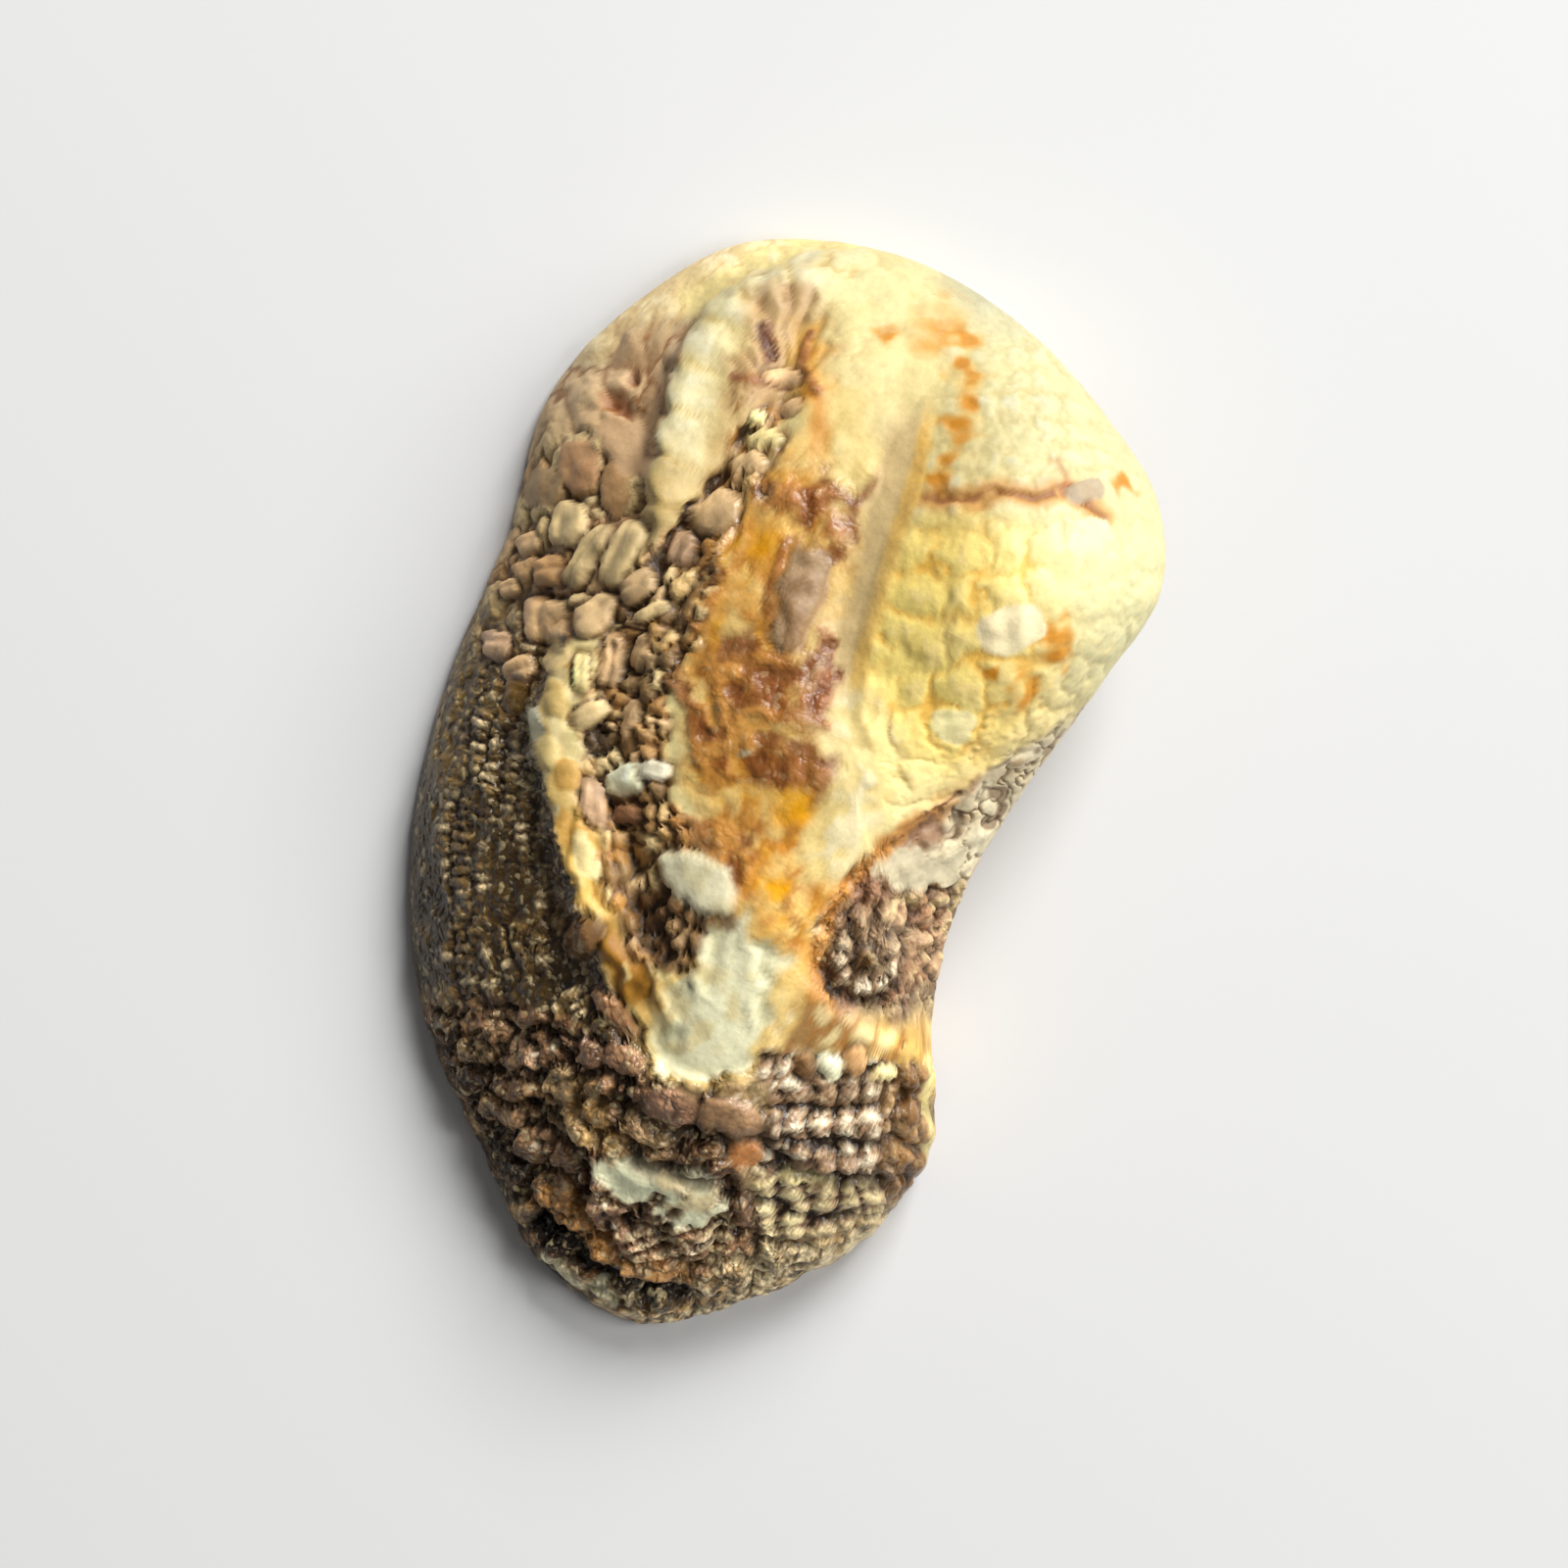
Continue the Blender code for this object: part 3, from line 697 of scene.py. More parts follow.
def from_pixels(px, py):
    """Where a place in the photo lies on the plan, in millimetres."""
    across, up = (px - PHOTO_ORIGIN[0]) * PIXEL_MM, (PHOTO_ORIGIN[1] - py) * PIXEL_MM
    turn = PHOTO_TURN
    return across * np.cos(turn) - up * np.sin(turn), across * np.sin(turn) + up * np.cos(turn)


def rough_noise(x, y, z, size, seed, octaves=4):
    """Noise of the given size with finer noise on it, from about -1 to 1."""
    total, strength, reach = 0.0, 1.0, 0.0
    for n in range(octaves):
        total = total + strength * noise(x, y, z, size / 2**n, seed + n)
        reach += strength
        strength *= 0.6
    return total / reach * 1.6


def cells(x, y, size, seed):
    """Uneven cells: distances to the two nearest seeds, in cell sizes, and a number for each cell."""
    x, y = x / size, y / size
    i, j = np.floor(x).astype(np.int64), np.floor(y).astype(np.int64)
    first = np.full(x.shape, 9.0)
    second = np.full(x.shape, 9.0)
    name = np.zeros(x.shape)
    for a in (-1, 0, 1):
        for b in (-1, 0, 1):
            sx = i + a + 0.1 + 0.8 * scramble(i + a, j + b, 0 * i, seed)
            sy = j + b + 0.1 + 0.8 * scramble(i + a, j + b, 0 * i + 1, seed)
            d = np.hypot(x - sx, y - sy)
            closer = d < first
            second = np.where(closer, first, np.minimum(second, d))
            name = np.where(closer, scramble(i + a, j + b, 0 * i + 2, seed), name)
            first = np.where(closer, d, first)
    return first, second, name


class Canvas:
    """Points of the shell with what is drawn on them: relief in millimetres, colour and roughness."""

    def __init__(self, points):
        self.x, self.y, self.z = points.T
        self.px, self.py = to_pixels(self.x, self.y)
        self.lift = np.zeros(len(points))
        self.colour = np.tile(linear(CREAM), (len(points), 1))
        self.rough = np.full(len(points), 0.5)
        self.crusty = np.zeros(len(points))
        self.wobble = rough_noise(self.px, self.py, self.z / PIXEL_MM, 34, 101)
        self.grit = rough_noise(self.px, self.py, self.z / PIXEL_MM, 15, 141, 1)

    def paint(self, colour, mask, rough=None):
        """Lays a colour, and a roughness if one is given, over what is there."""
        mask = np.clip(mask, 0, 1)
        self.colour += (linear(colour) - self.colour) * mask[:, None]
        if rough is not None:
            self.gloss(rough, mask)

    def shade(self, factor, mask):
        """Darkens or lightens what is there by a factor."""
        self.colour *= 1 + (factor - 1) * np.clip(mask, 0, 1)[:, None]

    def gloss(self, roughness, mask):
        """Brings the roughness to a value where the mask is 1."""
        self.rough += (roughness - self.rough) * mask

    def level(self, height, mask):
        """Brings the relief to a height where the mask is 1."""
        self.lift += (height - self.lift) * mask

    def distance(self, points):
        """Distance in pixels to a line through places in the photo, or to one place."""
        if len(points) == 1:
            return np.hypot(self.px - points[0][0], self.py - points[0][1])
        best = np.full(self.px.shape, 1e9)
        for (ax, ay), (bx, by) in zip(points, points[1:]):
            length = np.hypot(bx - ax, by - ay)
            ex, ey = (bx - ax) / length, (by - ay) / length
            t = np.clip((self.px - ax) * ex + (self.py - ay) * ey, 0, length)
            best = np.minimum(best, np.hypot(self.px - ax - t * ex, self.py - ay - t * ey))
        return best

    def outside_of(self, corners):
        """Distance in pixels outside a patch with straight sides, whose corners are given clockwise."""
        best = np.full(self.px.shape, -1e9)
        for (ax, ay), (bx, by) in zip(corners, corners[1:] + corners[:1]):
            length = np.hypot(bx - ax, by - ay)
            best = np.maximum(best, ((self.px - ax) * (by - ay) - (self.py - ay) * (bx - ax)) / length)
        return best

    def side(self, points):
        """Signed distance in pixels to a smooth line, positive on the left of one that runs down."""
        return along(self.px, self.py, points)

    def near(self, points, width, soft=5, ragged=10, grain=4):
        """1 on the line or place, 0 away from it, with a ragged edge."""
        d = self.distance(points) + ragged * self.wobble + grain * self.grit
        return until(width - soft, width + soft, d)


def zones(c):
    """Share of each kind of surface, with places across and along the growth ridge and the left edge."""
    zone = {}
    ridge, zone["run"] = c.side(RIDGE)
    front = until(*SCALLOPS_END, c.py)
    zone["scallop"] = np.abs(np.sin(np.pi * zone["run"] * RIDGE_SCALLOPS + 0.9 * c.wobble)) ** 0.6 * front
    zone["ridge"] = ridge - 9 * zone["scallop"]
    edge, zone["edge_run"] = c.side(LEFT_EDGE)
    zone["edge"] = -edge
    crust, _ = c.side(CRUST_TOP)
    wall, _ = c.side(WALL_TOP)
    wander = 9 * c.wobble + 4 * c.grit
    zone["band"] = ramp(-3, 4, zone["ridge"] + 0.4 * wander * (1 - front)) * until(*BAND_ENDS, c.px)
    zone["crust"] = ramp(-4, 4, crust + wander) * ramp(*CRUST_STARTS, c.py)
    zone["wall"] = ramp(-4, 4, -wall + 0.7 * wander) * ramp(*WALL_STARTS, c.px + 0.3 * (c.py - WALL_PIVOT))
    zone["wall"] *= until(*WALL_ENDS, c.py + wander)
    return zone


def lattice(c, width, height, left, top, bend):
    """Rounded cells in rows and columns of the photo: 1 on their tops, 0 in the grooves between."""
    a = wave((c.px - left + bend * c.wobble) / width)
    b = wave((c.py - top + 0.8 * bend * c.wobble) / height)
    return np.sqrt(a * b)


def grown(c, zone, across, length, seed, bend=0.25):
    """Uneven cells drawn out along the growth ridge."""
    steps = zone["run"] * RIDGE_LENGTH / length
    return cells(zone["ridge"] / across + bend * c.wobble, steps + bend * c.grit, 1.0, seed)


def pits(first, second, wide=0.2, start=0.03):
    """1 in the gaps between cells, 0 on them."""
    return until(start, wide, second - first)


def lumps(c, mask, pattern, height, tops, gap=0.8, gap_shade_colour=DARK_BROWN):
    """Uneven lumps, each in one of the given colours, with painted highlights on their crowns and gaps of
    painted shade between them.
    """
    first, second, name = pattern
    edge = pits(first, second)
    crown = until(0.0, 0.8, first)
    c.lift += mask * height * (crown - 0.45 - 0.5 * edge)
    kind = np.minimum((name * len(tops)).astype(int), len(tops) - 1)
    for n, colour in enumerate(tops):
        c.paint(colour, mask * 0.9 * (kind == n))
    # Painted highlight on the crowns, then painted shade in the gaps
    c.shade(1.35, mask * crown)
    c.paint(gap_shade_colour, mask * gap * edge)


def dress_umbo(c, zone):
    """The swollen lobe: soft cells with painted highlights on their tops, a yellow field, orange spots, a
    rusty crack, the groove with painted light on its shaded right wall, and painted shade on the crest.
    """
    px, py, wobble, grit = c.px, c.py, c.wobble, c.grit
    side, run = c.side(GROOVE_LINE)
    high = until(*UMBO_TIP, py + 10 * wobble)
    lobe = ramp(3 - 50 * high, 12 + 60 * high, -side + 10 * high * wobble) * (1 - zone["wall"])
    big = lattice(c, *LOBE_CELLS)
    small = lattice(c, *TIP_CELLS)
    low = ramp(*LOBE_LOW, py + 20 * wobble)
    top = small + (big - small) * low
    c.lift += lobe * (0.15 + 0.09 * low) * (top - 0.5) * ramp(-0.9, 0.2, wobble + 0.3)
    c.lift -= 0.45 * groove(c.x, c.y)
    c.paint(PALE_CREAM, 0.8 * ramp(*LOBE_PALE, px + 30 * wobble - 0.3 * (py - LOBE_PIVOT)) * lobe)
    yellow = c.near(LOBE_YELLOW, 56, 26, 18) * lobe
    c.paint(YELLOW, 0.95 * yellow * (1 - 0.55 * ramp(*YELLOW_FADES, px + 14 * wobble)))
    c.paint((236, 180, 84), 0.75 * until(0.2, 0.75, top) * yellow * ramp(-0.5, 0.3, wobble))
    c.paint((216, 194, 132), 0.55 * until(0.1, 0.7, top) * lobe * (1 - yellow) * ramp(-0.6, 0.3, wobble))
    # Painted highlights on the tops of the cells
    c.paint((255, 227, 160), 0.6 * ramp(0.72, 0.95, top) * lobe * low * ramp(-0.3, 0.3, grit))
    c.paint((238, 234, 206), 0.5 * ramp(0.6, 0.9, top) * lobe * (1 - low) * ramp(-0.2, 0.4, wobble))
    tip = ramp(-50, 40, -side) * (1 - zone["wall"]) * until(*TIP_GREY, py + 20 * wobble)
    c.paint((200, 198, 174), 0.8 * tip)
    c.paint((232, 226, 176), 0.6 * lobe * ramp(*LOBE_BACK, px))
    c.paint((234, 194, 116), 0.55 * c.near(ORANGE_TRAIL, 11, 9, 16, 9))
    for x, y, size in ORANGE_SPOTS:
        d = np.hypot(px - x, py - y) + 9 * wobble + 9 * grit
        c.paint((232, 176, 92), 0.8 * until(0.6 * size, 1.4 * size, d))
        c.paint((214, 140, 46), 0.8 * until(0.25 * size, 0.95 * size, d))
    crack = c.distance(CRACK) + 3 * wobble + 3 * grit
    c.lift -= 0.22 * until(2, 7, crack)
    c.paint((222, 162, 92), 0.8 * until(6, 19, crack))
    c.paint(RUST, 0.85 * until(2, 9, crack) * ramp(-0.7, 0.1, grit))
    c.paint((186, 116, 74), 0.7 * c.near(CRACK_TIP, 6, 4, 3, 3))
    long = within(*GROOVE_LINE_SPAN, py)
    c.paint((236, 214, 160), 0.8 * within(2, 10, 40, 56, side) * long)
    c.paint((222, 194, 142), 0.9 * ramp(-8, -3, side) * until(30, 42, side + 4 * wobble) * long)
    # Painted light on the groove's right wall, which turns away from the key light
    c.paint((244, 204, 120), 0.85 * ramp(-12, -6, side) * until(0, 8, side + 3 * wobble) * long)
    c.paint((226, 176, 100), 0.5 * within(-7, -4, 0, 7, side) * until(*GROOVE_WARM, py) * long)
    # More painted light on that wall
    c.shade(1.2, within(-12, -6, 0, 8, side) * long)
    # Painted shade on the umbo's crest, where the key light falls strongest
    c.shade(0.86, c.near(UMBO_CREST, 24, 14, 6, 4))
    return lobe


def dress_front(c, zone, lobe):
    """Cream shell between the umbo and the growth ridge: a scalloped rim, soft cells and a pink fan."""
    px, py, wobble, grit = c.px, c.py, c.wobble, c.grit
    inner = (1 - zone["band"]) * (1 - lobe) * until(*FRONT_ENDS, py)
    depth = -zone["ridge"]
    rim = inner * until(24, 60, depth + 8 * wobble)
    c.lift += rim * 0.24 * (zone["scallop"] - 0.35)
    c.paint((236, 224, 178), 0.9 * rim * ramp(0.2, 0.7, zone["scallop"]))
    c.paint((208, 176, 112), 0.8 * rim * ramp(*RIM_TAN, py + 14 * wobble))
    c.paint((196, 164, 108), 0.6 * rim * until(0.1, 0.5, zone["scallop"]))
    shine = ramp(0.75, 0.95, zone["scallop"]) * until(*RIM_BRIGHT, py) * ramp(-0.3, 0.3, grit)
    c.paint((250, 244, 214), 0.5 * rim * shine)
    strip = ramp(36, 60, depth + 10 * wobble) * until(90, 120, depth) * ramp(*STRIP_TAN, py)
    c.paint((208, 178, 122), 0.8 * inner * strip)
    upper = inner * until(*FRONT_PALE_ENDS, py - 0.1 * (px - PHOTO_MIDDLE[0]))
    first, second, name = cells(px + 12 * wobble, py + 8 * grit, 34, 51)
    c.lift += inner * 0.20 * (0.45 - first)
    c.paint((212, 188, 132), 0.5 * inner * pits(first, second) * ramp(-0.2, 0.4, wobble))
    c.paint((238, 230, 178), 0.6 * upper * ramp(0.3, 0.7, name))
    fan = c.near(PINK_FAN, 42, 18, 18, 6) * inner
    c.paint(PINK_TAN, 0.75 * fan)
    turn = np.arctan2(py - FAN_CENTRE[1], px - FAN_CENTRE[0])
    rays = np.abs(np.sin(turn * FAN_RAYS + 1.5 * wobble))
    c.lift += fan * 0.25 * (rays - 0.5)
    c.paint(UMBER, 0.6 * fan * until(0.15, 0.5, rays))
    c.paint((236, 190, 110), 0.8 * c.near(AMBER_STREAK, 22, 10, 10, 6) * inner)
    c.paint((214, 144, 62), 0.8 * c.near(AMBER_STREAK, 11, 8, 14, 6) * inner)


def dress_band(c, zone):
    """The steep band beyond the growth ridge: tan in front, lumps in the middle, dark and beaded behind,
    with painted shadow below the ridges, painted shade in gaps and towards the left edge, and painted
    highlights and glints on bead tops.
    """
    px, py, wobble, grit = c.px, c.py, c.wobble, c.grit
    band, depth = zone["band"], zone["ridge"]
    low = ramp(*BAND_DARKENS, py + 0.25 * depth + 22 * wobble)
    middle = ramp(*BAND_LUMPS, py + 0.2 * depth + 24 * wobble) * (1 - low)
    front = band * (1 - low) * (1 - middle)
    c.paint(TAN, band)
    c.paint(LIGHT_TAN, front * ramp(-0.1, 0.4, wobble + 0.3 * grit))
    c.paint((244, 226, 158), front * 0.7 * until(14, 40, depth + 10 * wobble) * until(*BAND_CREAM, py))
    c.paint((212, 182, 138), front * 0.75 * ramp(40, 70, depth + 12 * wobble) * ramp(*BAND_TAN, py))
    c.paint(PINK_TAN, front * 0.9 * until(48, 76, depth + 12 * wobble) * ramp(*BAND_PINK, py))
    first, second, name = cells(0.8 * depth + 9 * wobble, zone["run"] * RIDGE_LENGTH + 9 * grit, 21, 64)
    flecks = front * until(*BAND_FLECKS, py + 12 * wobble)
    c.lift += flecks * 0.22 * (0.45 - first)
    c.paint((206, 168, 108), 0.6 * flecks * pits(first, second, 0.25) * ramp(-0.3, 0.3, wobble))
    c.paint((255, 242, 200), 0.6 * flecks * (name > 0.7) * until(0.2, 0.6, first))
    first, second, name = cells(px + 9 * wobble, 0.8 * py + 14 * wobble, 42, 63)
    blocks = front * ramp(*BAND_BLOCKS, py + 8 * wobble)
    c.lift += blocks * 0.7 * (0.45 - first)
    c.paint((236, 202, 158), 0.8 * blocks * (name > 0.62))
    c.paint((184, 150, 112), 0.8 * blocks * (name < 0.3))
    c.paint((140, 90, 48), 0.8 * blocks * pits(first, second, 0.16) * ramp(-0.4, 0.2, wobble + name - 0.3))
    for place, size in ((BAND_HOLLOW, 11), (BAND_HOLE, 4)):
        hollow = c.near(place, size, 6, 5, 3) * band
        c.lift -= 0.5 * hollow
        c.paint((150, 88, 48), 0.85 * hollow)
    c.paint((124, 90, 52), band * 0.8 * until(2, 10, depth) * ramp(*BAND_SHADOW, py))
    edge_line = until(4, 11, np.abs(zone["edge"] + 3 * wobble)) * ramp(*EDGE_LINE_STARTS, py)
    c.paint((168, 124, 70), front * 0.55 * edge_line)
    c.paint((168, 106, 60), 0.75 * c.near(RED_JOINTS, 7, 5, 7, 5) * band)
    c.lift -= 0.25 * c.near(RED_JOINTS, 4, 4, 7, 5) * band
    c.crusty += front * 0.06
    colours = (GREY_TAN, TAN, (206, 164, 116), (172, 132, 84), (216, 188, 136))
    lumps(c, band * middle, grown(c, zone, 25, 34, 61), 0.45, colours, 0.8, (112, 74, 42))
    c.crusty += band * middle * 0.2
    c.paint((222, 190, 136), 0.7 * c.near(PALE_ROW, 14, 6, 7, 4) * band)
    dark = band * low
    c.paint((112, 88, 52), dark)
    c.paint((140, 112, 62), dark * 0.7 * until(*BAND_WARM, py))
    c.paint((120, 98, 62), dark * 0.6 * ramp(0.1, 0.6, wobble))
    c.paint(DARK_OLIVE, dark * 0.85 * ramp(0.0, 0.5, -wobble + 0.35 * ramp(*BAND_DARKEST, py)))
    row = zone["edge"] / BEAD_ROW + 0.55 * wobble
    step = zone["edge_run"] * EDGE_LENGTH / BEAD_STEP + 0.5 * (np.floor(row) % 2) + 0.3 * wobble
    top = np.sqrt(wave(row) * wave(step))
    row, step = (np.floor(v).astype(np.int64) for v in (row, step))
    name = scramble(row, step, 0 * row, 71)
    strong = dark * ramp(-0.4, 0.2, wobble) * ramp(16, 34, zone["edge"])
    c.lift += strong * 0.42 * (top - 0.5)
    # Painted shade between the beads, painted highlights on their tops and painted glints on a few
    c.paint(DARK_BROWN, strong * 0.85 * until(0.3, 0.62, top))
    c.paint((164, 134, 90), strong * 0.8 * ramp(0.6, 0.85, top) * (name > 0.55))
    c.paint((244, 218, 172), strong * ramp(0.55, 0.8, top) * (name > 0.76))
    first, second, name = cells(px + 10 * wobble, 0.7 * py + 10 * grit, 44, 62)
    c.lift += dark * 0.5 * (0.45 - first)
    # Painted shade in the gaps between the cells
    c.paint(DARK_BROWN, dark * 0.7 * pits(first, second, 0.16))
    c.shade(1.3, dark * ramp(0.6, 0.9, name) * (1 - first))
    # Darker towards the left edge: painted shade where the side turns under
    c.paint(DARK_OLIVE, dark * 0.6 * until(14, 36, zone["edge"] + 8 * wobble) * ramp(*EDGE_SHADE_STARTS, py))
    # Painted shadow at the foot of the lower growth ridge
    c.paint(DARK_BROWN, dark * 0.75 * until(6, 20, depth + 6 * wobble) * ramp(*RIDGE_SHADOW, py))
    pale = c.near(PALE_LUMPS, 17, 6, 12, 8) * dark
    lumps(c, pale, cells(px, py, 16, 66), 0.4, ((192, 182, 128), (160, 142, 92), (206, 196, 150)), 0.8)
    c.crusty += dark * 0.55
    c.gloss(GLOSSY, dark)


def mottle_at(c):
    """Blotches a little larger than the grit."""
    return rough_noise(c.px, c.py, 0 * c.px, 30, 171)


def dress_amber(c, zone):
    """The amber field down the middle with its rust lines, and the strips and patches of amber round it."""
    px, py, wobble, grit = c.px, c.py, c.wobble, c.grit
    inner = 1 - zone["band"]
    field = c.near(AMBER_ZONE, 76, 20, 22, 8) * inner
    c.paint(HONEY, 0.9 * field)
    core = c.near(AMBER_ZONE, 58, 20, 34, 10) * inner
    c.paint(AMBER, 0.9 * core * ramp(-0.7, 0.0, wobble + 0.3 * grit))
    mottle = mottle_at(c)
    c.paint((182, 112, 50), 0.7 * core * ramp(0.0, 0.4, mottle))
    c.paint((240, 204, 132), 0.6 * field * ramp(0.15, 0.5, -mottle))
    first, second, name = cells(px + 8 * grit, py + 8 * wobble, 21, 81)
    c.lift += 0.20 * field * (0.45 - first)
    c.paint((186, 112, 50), 0.50 * field * pits(first, second, 0.3, 0.04) * ramp(-0.2, 0.5, wobble + grit))
    c.paint((244, 212, 140), 0.65 * field * until(0.2, 0.6, first) * (name > 0.55))
    c.paint(RUST, 0.7 * core * until(0.3, 0.7, first) * (name < 0.22))
    for x, y, size in GOLD_SPOTS:
        d = np.hypot(px - x, py - y) + 10 * wobble + 5 * grit
        c.paint(BRIGHT_AMBER, 0.8 * until(0.4 * size, 1.15 * size, d))
    c.paint((232, 204, 140), 0.8 * c.near(AMBER_LIGHT, 12, 7, 8, 5))
    for line, width in RUST_LINES:
        spot = c.near(line, width, 0.45 * width, 0.7 * width, 0.4 * width)
        c.paint(RUST, 0.85 * spot)
        c.paint((190, 130, 82), 0.7 * spot * ramp(0.0, 0.5, grit))
        c.paint((112, 62, 34), 0.5 * spot * ramp(0.2, 0.6, -grit))
        c.lift += 0.12 * spot + 0.14 * spot * grit
        c.crusty += 0.10 * spot
    c.paint((216, 158, 86), 0.6 * core * until(*AMBER_LEFT, px + 12 * wobble) * ramp(-0.1, 0.3, grit))
    c.shade(1.12, c.near(AMBER_LOW, 34, 16, 10, 5))
    c.crusty += 0.07 * field
    c.gloss(AMBER_ROUGHNESS, field)
    ledge = inner * until(20, 31, 9 * wobble - zone["ridge"]) * within(*LEDGE_SPAN, py)
    c.paint((232, 198, 128), 0.95 * ledge)
    c.paint((212, 158, 80), 0.7 * ledge * ramp(0.1, 0.5, wobble))
    c.paint((250, 232, 178), 0.8 * ledge * ramp(0.1, 0.5, grit))
    strip = c.near(AMBER_STRIP, 24, 7, 7, 3)
    c.paint((234, 192, 112), 0.95 * strip)
    c.paint((186, 136, 66), 0.6 * strip * ramp(0.1, 0.5, wobble))
    c.paint((156, 106, 40), 0.9 * strip * ramp(*STRIP_BROWN, py + 10 * wobble))
    fold = np.sin(c.side(AMBER_STRIP)[0] / 4.5 + 2.2 * wobble + grit)
    c.lift += 0.22 * strip * fold
    c.paint((246, 224, 158), 0.75 * strip * ramp(0.55, 0.95, fold) * ramp(-0.4, 0.2, grit))
    cream = c.near(CREAM_BAND, 31, 10, 12, 4)
    c.paint((238, 214, 148), 0.95 * cream)
    c.paint((246, 236, 200), 0.6 * cream * ramp(0.0, 0.5, wobble + 0.5 * grit))
    c.lift += 0.10 * cream * (wobble + 0.5 * grit)
    c.crusty *= 1 - cream
    c.paint((238, 212, 142), 0.9 * c.near(FRONT_PALE, 20, 10, 7, 3))
    c.paint((232, 186, 100), 0.85 * c.near(RIGHT_CORNER, 26, 8, 8, 4))
    foot = c.near(AMBER_FOOT, 27, 10, 8, 5)
    c.paint((216, 178, 110), 0.7 * foot)
    c.paint((146, 106, 60), 0.9 * foot * until(*FOOT_BROWN, px + 10 * wobble))
    first, second, name = cells(px + 6 * wobble, py + 8 * grit, 26, 83)
    c.lift += 0.12 * foot * (0.45 - first)
    c.paint((166, 112, 54), 0.8 * foot * pits(first, second, 0.2, 0.04))
    c.paint((250, 230, 172), 0.7 * foot * (name > 0.6) * until(0.2, 0.5, first))


def dress_wall(c, zone):
    """The grey wall on the right with its cracks and painted highlights on its cells, the crust at its foot
    with painted glints, its shore and the rosette.
    """
    px, py, wobble, grit = c.px, c.py, c.wobble, c.grit
    wall = zone["wall"]
    first, second, name = cells(px + 14 * grit, 0.8 * py + 16 * wobble, 32, 91)
    crack = pits(first, second, 0.13, 0.02) * ramp(-0.6, 0.2, wobble + name - 0.3)
    c.paint((222, 208, 174), wall)
    c.paint(WALL_BROWN, 0.55 * wall * ramp(0.0, 0.5, wobble))
    # Painted highlights on the crowns of some cells
    c.paint((234, 226, 194), 0.6 * wall * ramp(0.5, 0.8, name) * (1 - first))
    c.paint((118, 86, 56), 0.7 * wall * ramp(0.35, 0.7, -grit))
    c.lift += wall * (0.16 * (0.45 - first) - 0.24 * crack + 0.10 * grit)
    c.paint((92, 64, 38), wall * 0.85 * crack)
    c.crusty += wall * 0.10
    crust = wall * ramp(*WALL_CRUST, py - 0.35 * (px - WALL_CRUST_PIVOT) + 14 * wobble + 6 * grit)
    tops = ((112, 80, 54), (142, 106, 76), PURPLE_BROWN, (98, 70, 46), (172, 138, 106))
    lumps(c, crust, cells(px + 8 * wobble, py + 8 * grit, 25, 92), 0.55, tops)
    # Painted glints on the crust
    c.paint(GLINT_SPECK, crust * 0.5 * ramp(0.45, 0.7, grit))
    c.crusty += crust * 0.25
    c.paint(PURPLE_BROWN, 0.85 * c.near(PURPLE_SHORE, 19, 8, 9, 5))
    patch = c.near(WALL_PATCH, 17, 4, 9, 6)
    c.paint((208, 198, 166), 0.85 * patch)
    c.level(0.12 + 0.06 * grit, 0.85 * patch)
    c.crusty *= 1 - 0.8 * patch
    shore = np.abs(c.side(WALL_TOP)[0] + 4 * grit + 3 * wobble)
    c.paint((212, 148, 76), 0.75 * until(3, 14, shore) * within(*SHORE_SPAN, py))
    c.paint(UMBER, 0.6 * until(2, 7, shore) * within(*UPPER_SHORE_SPAN, py) * ramp(-0.1, 0.5, grit))
    turn = np.arctan2(py - ROSETTE[1], px - ROSETTE[0])
    reach = np.hypot(px - ROSETTE[0], py - ROSETTE[1]) + 3 * wobble
    petal = np.abs(np.sin(PETALS / 2 * turn + 0.6 * wobble)) ** 0.6 * bell(reach - PETAL_REACH, 11)
    inside_it = until(38, 48, reach + 4 * grit)
    c.paint(DARK_BROWN, 0.8 * inside_it)
    c.paint(GREY_BROWN, 0.9 * inside_it * ramp(0.3, 0.6, petal))
    lit = ramp(0.6, 0.9, petal + 0.25 * grit) * ramp(-30, 20, py - ROSETTE[1] + 10 * wobble)
    c.paint((246, 230, 200), 0.9 * inside_it * lit)
    c.paint(UMBER, 0.8 * until(5, 12, reach))
    c.lift += inside_it * (0.65 * petal - 0.25) + 0.3 * until(5, 12, reach)


